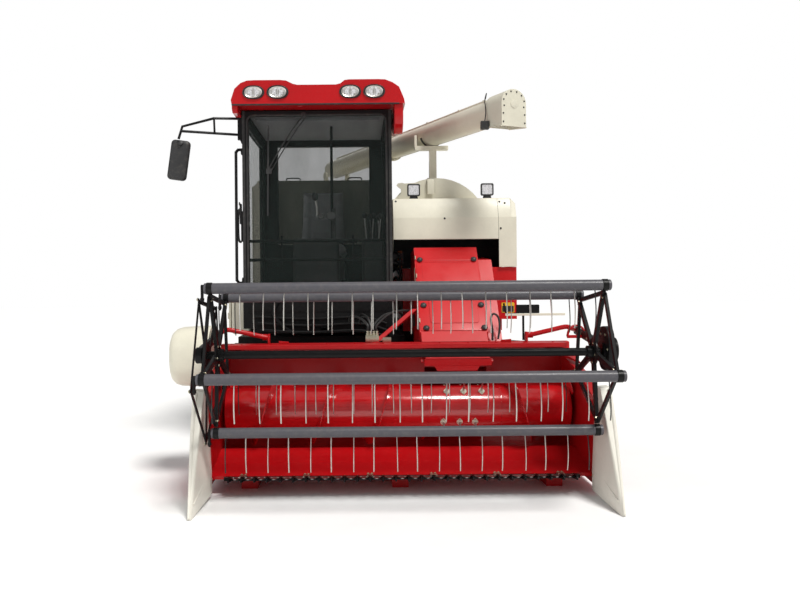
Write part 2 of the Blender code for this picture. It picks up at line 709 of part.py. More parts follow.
part(
    "header_beam",
    RED,
    [
        box(HX0 - SIDE_T, HX1 + SIDE_T, WALL_Y - 0.030, WALL_Y + 0.030, 0.8004, 0.8554, 0.006),
        arm_bracket(-0.64),
        arm_bracket(1.16),
        hull([(x, y, z) for x in (0.415, 0.91) for y, z in ((WALL_Y - 0.035, 0.80), (WALL_Y - 0.035, 0.81), (WALL_Y - 0.10, 0.72), (WALL_Y - 0.10, 0.73), (WALL_Y - 0.005, 0.81))]),
        hull([(HX1 - 0.12, WALL_Y - 0.02, 0.805), (HX1 - 0.12, WALL_Y - 0.02, 0.83), (HX1 + 0.045, -1.50, 0.73), (HX1 + 0.045, -1.50, 0.74), (HX1 + 0.045, WALL_Y, 0.81), (HX1 + 0.045, WALL_Y, 0.83)]),
        hull([(HX0 + 0.12, WALL_Y - 0.02, 0.805), (HX0 + 0.12, WALL_Y - 0.02, 0.83), (HX0 - 0.045, -1.50, 0.73), (HX0 - 0.045, -1.50, 0.74), (HX0 - 0.045, WALL_Y, 0.81), (HX0 - 0.045, WALL_Y, 0.83)]),
        hull([(x, y, z) for x, y, z in ((0.06, -1.19, 0.84), (0.10, -1.19, 0.84), (0.06, -1.17, 0.84), (0.10, -1.17, 0.84), (0.375, -0.97, 1.08), (0.4146, -0.97, 1.08), (0.375, -0.95, 1.06), (0.4146, -0.95, 1.06))]),
    ],
    [plate([(HX0 - 0.1, 0.0), (HX0 - 0.1, 0.7996), (HX1 + 0.1, 0.7996), (HX1 + 0.1, 0.0)], "y", WALL_Y - 0.002, 0.0),
     plate([(-1.60, 0.0), (-1.9, 0.6), (-1.60, 0.6904), (WALL_Y + 0.08, 0.7904), (WALL_Y + 0.08, 0.0)], "x", HX0 - 0.1, HX0 + 0.0004),
     plate([(-1.60, 0.0), (-1.9, 0.6), (-1.60, 0.6904), (WALL_Y + 0.08, 0.7904), (WALL_Y + 0.08, 0.0)], "x", HX1 - 0.0004, HX1 + 0.1)],
    parent=HEADER,
)


def divider(name, x_in, x_out):
    """A wedge: a tip on the ground, a tall narrow heel, a foot spread inwards."""
    tip = x_out - 0.045 if x_out > 0 else x_out + 0.045
    foot = x_in - 0.025 if x_out > 0 else x_in + 0.025
    y = -1.9454
    part(
        name,
        CREAM,
        [
            hull([
                (tip - 0.012, -2.36, 0.0), (tip + 0.012, -2.36, 0.0), (tip, -2.375, 0.012), (tip, -2.355, 0.035),
                (x_out, -2.04, 0.66), (x_in, -2.04, 0.655), (x_out, y, 0.655), (x_in, y, 0.65),
                (x_out, y, 0.03), (x_in, y, 0.19), (foot, y, 0.15), (foot, y, 0.03), (foot, -2.0, 0.03), (foot, -2.0, 0.15),
            ]),
        ],
        parent=HEADER,
    )


divider("divider_left", HX1, 1.465)
divider("divider_right", HX0, -0.985)
part(
    "header_drive_cover",
    CREAM,
    [box(-1.245, HX0 - SIDE_T - GAP, -1.64, -1.24, 0.60, 1.0, 0.05)],
    [box(-1.0, -0.8, -1.70, -1.10, 0.785, 1.2)],
    parent=HEADER,
)

TEETH = 28


def comb(depth_root, depth_tip, root_w, tip_w, x0, back):
    """A bar with a row of tapered teeth towards the front, as (X, Y)."""
    outline = [(x0, back), (x0, depth_root)]
    for k in range(TEETH):
        middle = x0 + KNIFE_PITCH * (k + 0.5)
        outline += [
            (middle - root_w / 2, depth_root), (middle - tip_w / 2, depth_tip),
            (middle + tip_w / 2, depth_tip), (middle + root_w / 2, depth_root),
        ]
    end = x0 + KNIFE_PITCH * TEETH
    return outline + [(end, depth_root), (end, back)]


GUARD_X0 = (HX0 + HX1) / 2 - KNIFE_PITCH * TEETH / 2
part(
    "cutter_bar",
    STEEL,
    [plate(comb(-1.935, -2.02, 0.034, 0.008, GUARD_X0, -1.8954), "z", 0.098, 0.114)],
    parent=HEADER,
)
KNIFE = pivot("knife_guide", (0.24, -1.94, 0.122), parent=HEADER)
part(
    "knife",
    STEEL,
    [plate(comb(-1.945, -1.995, 0.070, 0.014, GUARD_X0, -1.921), "z", 0.1195, 0.1225)],
    parent=KNIFE,
)

AUGER = pivot("auger_axis", (0.24, AUGER_Y, AUGER_Z), parent=HEADER)


def flight(x0, x1, turns, hand, steps):
    """A solid helical fin from inside the tube out to the flight's radius."""
    bm = bmesh.new()
    rings = []
    inner, outer, half = AUGER_TUBE_R - 0.03, AUGER_FLIGHT_R, 0.004
    for k in range(steps + 1):
        t = k / steps
        angle = 0.037 + hand * 2 * math.pi * turns * t + (0 if x0 < 0.3 else math.pi)
        x = x0 + (x1 - x0) * t
        c, s = math.cos(angle), math.sin(angle)
        rings.append([
            bm.verts.new((x + dx, AUGER_Y + r * c, AUGER_Z + r * s))
            for dx, r in ((-half, inner), (-half, outer), (half, outer), (half, inner))
        ])
    for a, b in zip(rings, rings[1:]):
        for k in range(4):
            bm.faces.new((a[k], a[(k + 1) % 4], b[(k + 1) % 4], b[k]))
    bm.faces.new(rings[0][::-1])
    bm.faces.new(rings[-1])
    bmesh.ops.triangulate(bm, faces=bm.faces)
    return from_bmesh(bm)


part(
    "header_auger",
    RED,
    [
        rod((HX0 + 0.012, AUGER_Y, AUGER_Z), (HX1 - 0.012, AUGER_Y, AUGER_Z), AUGER_TUBE_R, 24),
        flight(HX0 + 0.03, 0.40, 3.4, 1, 48),
        flight(HX1 - 0.03, 0.92, 1.25, 1, 18),
    ],
    parent=AUGER,
)

# -------------------------------------------------------------------- the reel
REEL_LIFT = pivot("reel_arm_hinge", (0.24, ARM_Y, ARM_Z), parent=HEADER)
for side, x, outer_x, hub in (
    ("left", 1.16, 1.445, (1.388, 1.473)),
    ("right", -0.64, -0.942, (-0.955, -0.905)),
):
    toward = 1 if side == "left" else -1
    shapes = [
        tube(
            [
                (x + toward * 0.012, ARM_Y, ARM_Z), (x + toward * 0.13, ARM_Y - 0.03, ARM_Z + 0.012),
                (outer_x - toward * 0.03, ARM_Y - 0.06, ARM_Z + 0.055), (outer_x, ARM_Y - 0.12, ARM_Z + 0.05),
                (outer_x, -1.60, ARM_Z + 0.045), (outer_x, REEL_Y + 0.02, REEL_Z + 0.005),
            ],
            0.018,
        ),
    ]
    if side == "left":
        shapes.append(box(hub[0], hub[1], REEL_Y - 0.11, REEL_Y + 0.11, REEL_Z - 0.115, REEL_Z + 0.155, 0.02))
    else:
        shapes.append(rod((hub[0], REEL_Y, REEL_Z), (hub[1], REEL_Y, REEL_Z), 0.045, 14))
    part(f"reel_arm_{side}", BLACK, shapes, parent=REEL_LIFT)

REEL = pivot("reel_axis", (0.24, REEL_Y, REEL_Z), parent=REEL_LIFT)


def at_reel(angle, radius, x, drop=0.0):
    a = math.radians(angle)
    return Vector((x, REEL_Y - radius * math.cos(a), REEL_Z + radius * math.sin(a) - drop))


def spider(x, thick, hub_r, drop=0.0, reach=REEL_R - BAT_R - 0.008):
    shapes = [rod((x - thick / 2, REEL_Y, REEL_Z - drop), (x + thick / 2, REEL_Y, REEL_Z - drop), hub_r, 20)]
    for angle in BAT_ANGLES:
        a = math.radians(angle)
        side = Vector((0, math.sin(a), math.cos(a))) * 0.018
        ends = [at_reel(angle, r, x, drop) for r in (0.5 * hub_r if not drop else hub_r - 0.01, reach)]
        shapes.append(hull([e + side * s + Vector((t, 0, 0)) for e in ends for s in (-1, 1) for t in (-thick * 0.45, thick * 0.45)]))
    return shapes


part(
    "reel_spider",
    BLACK,
    [rod((-0.900, REEL_Y, REEL_Z), (1.3825, REEL_Y, REEL_Z), 0.024, 12)]
    + spider(-0.828, 0.010, 0.08)
    + spider(1.345, 0.010, 0.08),
    parent=REEL,
)
RING = pivot("ring_axis", (-0.888, REEL_Y, REEL_Z - RING_DROP), parent=REEL_LIFT)
part(
    "reel_ring",
    BLACK,
    spider(-0.888, 0.008, 0.125, RING_DROP, REEL_R + 0.005),
    [rod((-0.95, REEL_Y, REEL_Z - RING_DROP), (-0.85, REEL_Y, REEL_Z - RING_DROP), 0.100, 20)],
    parent=RING,
)
TINES = 18
for number, angle in enumerate(BAT_ANGLES, 1):
    place = at_reel(angle, REEL_R, 0.24)
    axis = pivot(f"bat_axis_{number}", place, parent=REEL)
    y, z = place.y, place.z
    shapes = [rod((REEL_X[0], y, z), (REEL_X[1], y, z), BAT_R, 10)]
    for k in range(TINES):
        x = REEL_X[0] + 0.078 + (REEL_X[1] - REEL_X[0] - 0.156) * k / (TINES - 1)
        shapes.append(rod((x, y, z), (x, y + 0.006, z - TINE_L - 0.008), 0.0045, 4))
    shapes.append(box(-0.874, -0.856, y - 0.014, y + 0.014, z - RING_DROP - 0.012, z + 0.012))
    part(f"reel_bat_{number}", GREY, shapes, parent=axis)
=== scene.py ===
"""The visual model of the combine harvester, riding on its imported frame."""
import math
import random

import bmesh
import bpy
from mathutils import Matrix, Vector


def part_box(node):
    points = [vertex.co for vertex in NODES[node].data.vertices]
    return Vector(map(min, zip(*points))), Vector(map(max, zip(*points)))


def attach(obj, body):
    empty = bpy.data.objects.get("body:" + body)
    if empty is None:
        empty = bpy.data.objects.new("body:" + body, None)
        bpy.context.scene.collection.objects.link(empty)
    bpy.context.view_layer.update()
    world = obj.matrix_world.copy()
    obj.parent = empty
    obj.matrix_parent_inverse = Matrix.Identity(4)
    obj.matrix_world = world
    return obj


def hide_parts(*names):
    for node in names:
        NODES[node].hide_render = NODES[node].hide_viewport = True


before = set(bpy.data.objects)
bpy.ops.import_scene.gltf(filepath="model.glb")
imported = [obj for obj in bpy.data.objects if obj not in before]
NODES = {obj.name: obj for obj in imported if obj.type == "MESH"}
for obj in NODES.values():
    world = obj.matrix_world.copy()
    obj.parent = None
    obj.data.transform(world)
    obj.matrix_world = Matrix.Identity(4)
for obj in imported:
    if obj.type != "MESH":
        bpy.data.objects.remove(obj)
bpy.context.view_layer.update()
random.seed(11)
V = Vector

# ------------------------------------------------------------------ materials


def base_nodes(name):
    mat = bpy.data.materials.new(name)
    mat.use_nodes = True
    tree = mat.node_tree
    return mat, tree, tree.nodes["Principled BSDF"], tree.links.new


def noise(tree, scale, detail=4.0, rough=0.55, stretch=(1, 1, 1)):
    coord = tree.nodes.new("ShaderNodeTexCoord")
    mapping = tree.nodes.new("ShaderNodeMapping")
    mapping.inputs["Scale"].default_value = stretch
    tex = tree.nodes.new("ShaderNodeTexNoise")
    tex.inputs["Scale"].default_value = scale
    tex.inputs["Detail"].default_value = detail
    tex.inputs["Roughness"].default_value = rough
    tree.links.new(coord.outputs["Object"], mapping.inputs["Vector"])
    tree.links.new(mapping.outputs["Vector"], tex.inputs["Vector"])
    return tex


def ramp(tree, source, stops):
    made = tree.nodes.new("ShaderNodeValToRGB")
    tree.links.new(source, made.inputs["Fac"])
    elements = made.color_ramp.elements
    while len(elements) < len(stops):
        elements.new(0.5)
    for element, (at, colour) in zip(elements, stops):
        element.position = at
        element.color = (*colour, 1) if len(colour) == 3 else colour
    return made


def tone(colour, k):
    return tuple(min(1.0, c * k) for c in colour)


def grey(v):
    return (v, v, v)


def mix_colour(tree, factor, a, b):
    made = tree.nodes.new("ShaderNodeMix")
    made.data_type = "RGBA"
    tree.links.new(factor, made.inputs["Factor"])
    for socket, value in ((made.inputs[6], a), (made.inputs[7], b)):
        if isinstance(value, tuple):
            socket.default_value = (*value, 1)
        else:
            tree.links.new(value, socket)
    return made.outputs[2]


def edge_mask(tree, radius):
    """White along edges and corners, black on flats."""
    bevel = tree.nodes.new("ShaderNodeBevel")
    bevel.samples = 4
    bevel.inputs["Radius"].default_value = radius
    geometry = tree.nodes.new("ShaderNodeNewGeometry")
    dot = tree.nodes.new("ShaderNodeVectorMath")
    dot.operation = "DOT_PRODUCT"
    tree.links.new(bevel.outputs["Normal"], dot.inputs[0])
    tree.links.new(geometry.outputs["Normal"], dot.inputs[1])
    return ramp(tree, dot.outputs["Value"], [(0.80, (1, 1, 1)), (0.985, (0, 0, 0))]).outputs["Color"]


def paint(name, colour, rough=0.36, metallic=0.0, coat=0.35, wear=0.35, dust=0.16, peel=0.03, shine=0.26):
    """Sprayed paint: broad shade variation, orange peel, dust and worn edges."""
    mat, tree, shader, link = base_nodes(name)
    broad = noise(tree, 2.3, 5)
    shade = ramp(tree, broad.outputs["Fac"], [(0.3, tone(colour, 0.90)), (0.7, tone(colour, 1.06))])
    speck = noise(tree, 38, 6, 0.7)
    film = ramp(tree, speck.outputs["Fac"], [(0.46, grey(0)), (0.78, grey(dust))])
    dusty = mix_colour(tree, film.outputs["Color"], shade.outputs["Color"], (0.42, 0.38, 0.31))
    worn = noise(tree, 55, 5, 0.7)
    gate = ramp(tree, worn.outputs["Fac"], [(0.50, grey(0)), (0.62, grey(wear))])
    edges = tree.nodes.new("ShaderNodeMix")
    edges.data_type = "RGBA"
    edges.blend_type = "MULTIPLY"
    edges.inputs["Factor"].default_value = 1.0
    link(edge_mask(tree, 0.004), edges.inputs[6])
    link(gate.outputs["Color"], edges.inputs[7])
    final = mix_colour(tree, edges.outputs[2], dusty, tone(colour, 0.35) if sum(colour) > 0.3 else (0.16, 0.15, 0.14))
    link(final, shader.inputs["Base Color"])
    gloss = ramp(tree, noise(tree, 9, 4).outputs["Fac"], [(0.3, grey(rough * 0.82)), (0.75, grey(min(1, rough * 1.25)))])
    link(gloss.outputs["Color"], shader.inputs["Roughness"])
    shader.inputs["Metallic"].default_value = metallic
    shader.inputs["Specular IOR Level"].default_value = shine
    shader.inputs["Coat Weight"].default_value = coat * 0.4
    shader.inputs["Coat Roughness"].default_value = 0.16
    bump = tree.nodes.new("ShaderNodeBump")
    bump.inputs["Strength"].default_value = peel
    bump.inputs["Distance"].default_value = 0.002
    link(noise(tree, 420, 2).outputs["Fac"], bump.inputs["Height"])
    link(bump.outputs["Normal"], shader.inputs["Normal"])
    return mat


def metal(name, colour, rough=0.35, stretch=(1, 1, 1), scale=60, spots=0.2, metallic=1.0):
    """Bare or plated metal with streaks and dull spots."""
    mat, tree, shader, link = base_nodes(name)
    grain = noise(tree, scale, 8, 0.65, stretch)
    shade = ramp(tree, grain.outputs["Fac"], [(0.3, tone(colour, 1 - spots)), (0.7, tone(colour, 1.08))])
    link(shade.outputs["Color"], shader.inputs["Base Color"])
    gloss = ramp(tree, grain.outputs["Fac"], [(0.3, grey(min(1, rough * 1.4))), (0.7, grey(rough * 0.8))])
    link(gloss.outputs["Color"], shader.inputs["Roughness"])
    shader.inputs["Metallic"].default_value = metallic
    bump = tree.nodes.new("ShaderNodeBump")
    bump.inputs["Strength"].default_value = 0.08
    bump.inputs["Distance"].default_value = 0.001
    link(grain.outputs["Fac"], bump.inputs["Height"])
    link(bump.outputs["Normal"], shader.inputs["Normal"])
    return mat


def moulded(name, colour, rough=0.6, grain_scale=500, bump_strength=0.15, dust=0.2):
    """Rubber or plastic with a pebbled grain and settled dust."""
    mat, tree, shader, link = base_nodes(name)
    broad = noise(tree, 6, 5)
    shade = ramp(tree, broad.outputs["Fac"], [(0.35, tone(colour, 0.8)), (0.7, tone(colour, 1.25))])
    film = ramp(tree, noise(tree, 25, 6, 0.7).outputs["Fac"], [(0.5, grey(0)), (0.8, grey(dust))])
    link(mix_colour(tree, film.outputs["Color"], shade.outputs["Color"], (0.25, 0.22, 0.18)), shader.inputs["Base Color"])
    gloss = ramp(tree, broad.outputs["Fac"], [(0.3, grey(rough * 0.85)), (0.7, grey(min(1, rough * 1.15)))])
    link(gloss.outputs["Color"], shader.inputs["Roughness"])
    bump = tree.nodes.new("ShaderNodeBump")
    bump.inputs["Strength"].default_value = bump_strength
    bump.inputs["Distance"].default_value = 0.001
    link(noise(tree, grain_scale, 3).outputs["Fac"], bump.inputs["Height"])
    link(bump.outputs["Normal"], shader.inputs["Normal"])
    return mat


def glazing(name, tint, alpha=0.55):
    """Tinted safety glass, with a faint smear in its gloss."""
    mat, tree, shader, link = base_nodes(name)
    shader.inputs["Base Color"].default_value = (*tint, 1)
    smear = ramp(tree, noise(tree, 5, 5, 0.6, (1, 1, 0.35)).outputs["Fac"], [(0.35, grey(0.02)), (0.8, grey(0.12))])
    link(smear.outputs["Color"], shader.inputs["Roughness"])
    haze = ramp(tree, noise(tree, 3, 5, 0.6, (1, 1, 0.35)).outputs["Fac"], [(0.35, grey(alpha - 0.05)), (0.8, grey(alpha + 0.06))])
    link(haze.outputs["Color"], shader.inputs["Alpha"])
    shader.inputs["IOR"].default_value = 1.5
    return mat


def lens(name, colour, rough=0.1, glow=0.0):
    mat, tree, shader, link = base_nodes(name)
    cells = tree.nodes.new("ShaderNodeTexVoronoi")
    cells.inputs["Scale"].default_value = 90
    coord = tree.nodes.new("ShaderNodeTexCoord")
    link(coord.outputs["Object"], cells.inputs["Vector"])
    shade = ramp(tree, cells.outputs["Distance"], [(0.0, tone(colour, 0.55)), (0.6, colour)])
    link(shade.outputs["Color"], shader.inputs["Base Color"])
    shader.inputs["Roughness"].default_value = rough
    shader.inputs["Coat Weight"].default_value = 1.0
    shader.inputs["Metallic"].default_value = 0.25
    if glow:
        shader.inputs["Emission Strength"].default_value = glow
        link(shade.outputs["Color"], shader.inputs["Emission Color"])
    return mat


def cloth(name, colour):
    """A woven cover: crossed threads in bump and shade."""
    mat, tree, shader, link = base_nodes(name)
    coord = tree.nodes.new("ShaderNodeTexCoord")
    waves = []
    for direction in ("X", "Z"):
        wave = tree.nodes.new("ShaderNodeTexWave")
        wave.bands_direction = direction
        wave.inputs["Scale"].default_value = 160
        wave.inputs["Distortion"].default_value = 0.6
        link(coord.outputs["Object"], wave.inputs["Vector"])
        waves.append(wave)
    weave = tree.nodes.new("ShaderNodeMath")
    weave.operation = "MULTIPLY"
    link(waves[0].outputs["Fac"], weave.inputs[0])
    link(waves[1].outputs["Fac"], weave.inputs[1])
    shade = ramp(tree, weave.outputs["Value"], [(0.0, tone(colour, 0.6)), (0.8, tone(colour, 1.3))])
    link(shade.outputs["Color"], shader.inputs["Base Color"])
    shader.inputs["Roughness"].default_value = 0.85
    shader.inputs["Sheen Weight"].default_value = 0.4
    bump = tree.nodes.new("ShaderNodeBump")
    bump.inputs["Strength"].default_value = 0.3
    bump.inputs["Distance"].default_value = 0.001
    link(weave.outputs["Value"], bump.inputs["Height"])
    link(bump.outputs["Normal"], shader.inputs["Normal"])
    return mat


CREAM = paint("cream_paint", (0.74, 0.71, 0.585), 0.38, wear=0.15, dust=0.10)
CREAM_LIGHT = paint("cream_paint_light", (0.80, 0.775, 0.69), 0.40, wear=0.15, dust=0.10)
RED = paint("red_paint", (0.56, 0.006, 0.009), 0.34, coat=0.35, wear=0.16, dust=0.02)
RED_DEEP = paint("red_paint_header", (0.46, 0.004, 0.007), 0.36, coat=0.30, wear=0.22, dust=0.025)
# the auger's red is lighter than the header's red: painted highlight in its colour, on top of a real glossy coat
RED_AUGER_PAINTED_HIGHLIGHT = paint("red_auger_painted_highlight", (0.60, 0.006, 0.010), 0.20, coat=1.8, wear=0.10, dust=0.01, shine=0.6)
RED_ROOF = paint("red_roof", (0.47, 0.006, 0.009), 0.22, coat=0.7, wear=0.0, dust=0.01)
BLACK = paint("black_paint", (0.0075, 0.0075, 0.008), 0.40, coat=0.12, wear=0.12, dust=0.01, shine=0.14)
FRAME = paint("frame_black", (0.006, 0.006, 0.0065), 0.45, coat=0.08, wear=0.12, dust=0.02, shine=0.14)
BAT = paint("bat_paint", (0.088, 0.086, 0.098), 0.42, coat=0.25, wear=0.4, dust=0.10)
SPRING = metal("galvanised_spring", (0.62, 0.60, 0.56), 0.34, scale=140)
STEEL = metal("bare_steel", (0.50, 0.49, 0.47), 0.32, scale=80)
SECTION = metal("knife_steel", (0.55, 0.54, 0.52), 0.28, (1, 12, 1), 40)
ZINC = metal("zinc_plate", (0.66, 0.62, 0.48), 0.30, scale=120)
BRASS = metal("passivated_bolt", (0.70, 0.55, 0.28), 0.30, scale=120)
IRON = metal("cast_iron", (0.055, 0.055, 0.057), 0.55, scale=45, metallic=0.6)
PLASTIC = moulded("black_plastic", (0.018, 0.018, 0.019), 0.5)
RUBBER = moulded("rubber", (0.02, 0.02, 0.02), 0.75, 260, 0.25, 0.25)
HOSE = moulded("hose_rubber", (0.012, 0.012, 0.012), 0.45, 800, 0.1, 0.08)
GLASS = glazing("tinted_glass", (0.012, 0.020, 0.017), 0.30)
GLASS_CLEAR = glazing("mirror_glass", (0.4, 0.42, 0.42), 0.98)
LAMP = lens("lamp_lens", (0.80, 0.80, 0.82), 0.08, 0.10)
AMBER = lens("amber_lens", (0.85, 0.25, 0.02), 0.15, 0.1)
LABEL = moulded("label_yellow", (0.75, 0.50, 0.02), 0.5, 900, 0.05, 0.1)
FABRIC = cloth("seat_cover", (0.30, 0.305, 0.315))

FINISH = {
    CREAM: "thresher_upper front_hood grain_tank engine_side_housing header_drive_cover side_door radiator_door auger_column unload_turret unload_tube unload_spout cradle",
    CREAM_LIGHT: "divider_left divider_right",
    RED: "feeder_house feeder_drive_cover side_panel_front thresher_lower straw_hood straw_deflector",
    RED_DEEP: "header_trough header_beam header_auger",
    RED_ROOF: "cab_roof",
    BLACK: "cab_frame cab_door cab_base grab_rail mirror_arm step reel_arm_left reel_arm_right reel_spider reel_ring",
    FRAME: "chassis_frame track_frame_left track_frame_right",
    BAT: "reel_bat_1 reel_bat_2 reel_bat_3 reel_bat_4 reel_bat_5",
    IRON: "engine drive_axle sprocket_left sprocket_right cutter_bar",
    PLASTIC: "side_console steering_console mirror_head fuel_tank",
    RUBBER: "track_left track_right",
    SECTION: "knife",
    GLASS: "windscreen side_window rear_window door_glass",
    FABRIC: "seat",
}
for mat, names in FINISH.items():
    for name in names.split():
        node = NODES[name]
        if not node.material_slots:
            node.data.materials.append(mat)
        for slot in node.material_slots:
            slot.material = mat

# -------------------------------------------------------------- building tools


def frame_at(a, b):
    """An orthonormal pair across the line from a to b."""
    along = (b - a).normalized()
    side = along.cross(V((0, 0, 1)))
    if side.length < 1e-4:
        side = along.cross(V((0, 1, 0)))
    side.normalize()
    return side, along.cross(side).normalized()


class Build:
    """Collects shapes in one mesh, then becomes a piece."""

    def __init__(self):
        self.bm = bmesh.new()

    def prim(self, made, at):
        bmesh.ops.transform(self.bm, matrix=at, verts=made)
        return self

    def box(self, x0, x1, y0, y1, z0, z1, bevel=0.0, segments=2, at=None):
        made = bmesh.ops.create_cube(self.bm, size=1.0)["verts"]
        place = Matrix.Translation(((x0 + x1) / 2, (y0 + y1) / 2, (z0 + z1) / 2))
        place = place @ Matrix.Diagonal((x1 - x0, y1 - y0, z1 - z0, 1))
        if at is not None:
            place = at @ place
        bmesh.ops.transform(self.bm, matrix=place, verts=made)
        if bevel:
            edges = list({e for v in made for e in v.link_edges})
            bmesh.ops.bevel(self.bm, geom=edges, offset=bevel, segments=segments, profile=0.7, affect="EDGES")
        return self

    def rod(self, a, b, r, sides=16, r2=None, caps=True):
        a, b = V(a), V(b)
        turn = V((0, 0, 1)).rotation_difference((b - a).normalized()).to_matrix().to_4x4()
        bmesh.ops.create_cone(
            self.bm, cap_ends=caps, segments=sides, radius1=r, radius2=r if r2 is None else r2,
            depth=(b - a).length, matrix=Matrix.Translation((a + b) / 2) @ turn,
        )
        return self

    def ball(self, c, r, scale=(1, 1, 1), u=16, v=10, at=None):
        place = Matrix.Translation(c) @ (at or Matrix.Identity(4)) @ Matrix.Diagonal((*scale, 1))
        bmesh.ops.create_uvsphere(self.bm, u_segments=u, v_segments=v, radius=r, matrix=place)
        return self

    def bolt(self, c, n, r=0.008, h=0.006):
        """A hexagon head on a washer, standing along n."""
        c, n = V(c), V(n).normalized()
        self.rod(c, c + n * 0.0015, r * 1.35, 14)
        self.rod(c + n * 0.0015, c + n * (0.0015 + h), r, 6)
        self.rod(c + n * (0.0015 + h), c + n * (0.003 + h), r * 0.55, 8)
        return self

    def sweep(self, points, r, sides=8, closed=False, flat=None):
        """A round or flat bar along points, turning smoothly."""
        pts = [V(p) for p in points]
        count = len(pts)
        tangents = []
        for i in range(count):
            a = pts[i - 1] if (i or closed) else pts[0]
            b = pts[(i + 1) % count] if (i < count - 1 or closed) else pts[-1]
            tangents.append((b - a).normalized())
        side, _ = frame_at(V((0, 0, 0)), tangents[0])
        rings = []
        for p, t in zip(pts, tangents):
            side = (side - t * side.dot(t)).normalized()
            up = t.cross(side)
            radius = r(len(rings) / max(1, count - 1)) if callable(r) else r
            ring = []
            for k in range(sides):
                a = 2 * math.pi * (k + 0.5) / sides
                ru, rs = (flat if flat else (radius, radius))
                ring.append(self.bm.verts.new(p + side * math.cos(a) * rs + up * math.sin(a) * ru))
            rings.append(ring)
        pairs = list(zip(rings, rings[1:])) + ([(rings[-1], rings[0])] if closed else [])
        for a, b in pairs:
            for k in range(sides):
                self.bm.faces.new((a[k], a[(k + 1) % sides], b[(k + 1) % sides], b[k]))
        if not closed:
            self.bm.faces.new(rings[0][::-1])
            self.bm.faces.new(rings[-1])
        return self

    def slab(self, outline, axis, lo, hi, bevel=0.0, segments=2, at=None):
        """A flat outline, (Y, Z), (X, Z) or (X, Y), given thickness."""
        def put(u, v, w):
            p = {"x": V((w, u, v)), "y": V((u, w, v)), "z": V((u, v, w))}[axis]
            return at @ p if at is not None else p
        low = [self.bm.verts.new(put(u, v, lo)) for u, v in outline]
        high = [self.bm.verts.new(put(u, v, hi)) for u, v in outline]
        n = len(outline)
        faces = [self.bm.faces.new(low), self.bm.faces.new(high[::-1])]
        for k in range(n):
            faces.append(self.bm.faces.new((low[k], high[k], high[(k + 1) % n], low[(k + 1) % n])))
        bmesh.ops.recalc_face_normals(self.bm, faces=faces)
        if bevel:
            edges = list({e for f in faces[:2] for e in f.edges})
            bmesh.ops.bevel(self.bm, geom=edges, offset=bevel, segments=segments, profile=0.7, affect="EDGES")
        return self

    def lathe(self, profile, a, b, sides=32):
        """A turned shape about the line a to b; profile is (along, radius)."""
        a, b = V(a), V(b)
        along = (b - a).normalized()
        side, up = frame_at(a, b)
        rings = []
        for t, r in profile:
            rings.append([
                self.bm.verts.new(a + along * t + (side * math.cos(2 * math.pi * k / sides) + up * math.sin(2 * math.pi * k / sides)) * max(r, 1e-5))
                for k in range(sides)
            ])
        for p, q in zip(rings, rings[1:]):
            for k in range(sides):
                self.bm.faces.new((p[k], p[(k + 1) % sides], q[(k + 1) % sides], q[k]))
        self.bm.faces.new(rings[0][::-1])
        self.bm.faces.new(rings[-1])
        return self

    def done(self, name, mat, body, replaces=(), smooth=35, subdiv=0, slot=None):
        bmesh.ops.recalc_face_normals(self.bm, faces=self.bm.faces)
        mesh = bpy.data.meshes.new(name)
        self.bm.to_mesh(mesh)
        self.bm.free()
        obj = bpy.data.objects.new(name, mesh)
        bpy.context.scene.collection.objects.link(obj)
        mesh.materials.append(mat)
        mesh.shade_smooth()
        mesh.set_sharp_from_angle(angle=math.radians(smooth))
        if subdiv:
            sub = obj.modifiers.new("smooth", "SUBSURF")
            sub.levels = sub.render_levels = subdiv
        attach(obj, body)
        if replaces:
            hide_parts(*replaces)
        return obj


def curve(points, steps=6):
    """A smooth run through points (Catmull-Rom)."""
    pts = [V(p) for p in points]
    out = []
    for i in range(len(pts) - 1):
        p0, p1, p2, p3 = pts[max(i - 1, 0)], pts[i], pts[i + 1], pts[min(i + 2, len(pts) - 1)]
        for k in range(steps):
            t = k / steps
            out.append(0.5 * ((2 * p1) + (p2 - p0) * t + (2 * p0 - 5 * p1 + 4 * p2 - p3) * t * t + (3 * p1 - p0 - 3 * p2 + p3) * t ** 3))
    return out + [pts[-1]]

# -------------------------------------------------------------------- the reel
REEL_Y, REEL_Z, REEL_R, BAT_R = -2.09, 0.868, 0.4435, 0.030
BAT_ANGLES = [-11 + 72 * i for i in range(5)]
RING_DROP = 0.06
BAT_X = (-0.858, 1.378)
AXIS = V((0, REEL_Y, REEL_Z))


def reel_point(angle, radius, x, drop=0.0):
    a = math.radians(angle)
    return V((x, REEL_Y - radius * math.cos(a), REEL_Z + radius * math.sin(a) - drop))


def spring_tine(build, x, y, z, hand, lean):
    """One leg of a double spring tine: two coils behind the bat, then a bowed leg."""
    cy, cz, r = y + BAT_R + 0.0125, z - 0.004, 0.009
    points = []
    for k in range(25):
        a = 2 * math.pi * k / 12
        points.append(V((x + hand * (24 - k) * 0.0072 / 12, cy - r * math.cos(a), cz + r * math.sin(a))))
    leg = [(0.000, -0.02), (-0.010, -0.07), (-0.020, -0.13), (-0.018, -0.185), (-0.006, -0.235)]
    points += curve([V((x + lean * abs(dz), cy - r + dy, z + dz)) for dy, dz in leg], 3)
    build.sweep(points, 0.0034, 5)


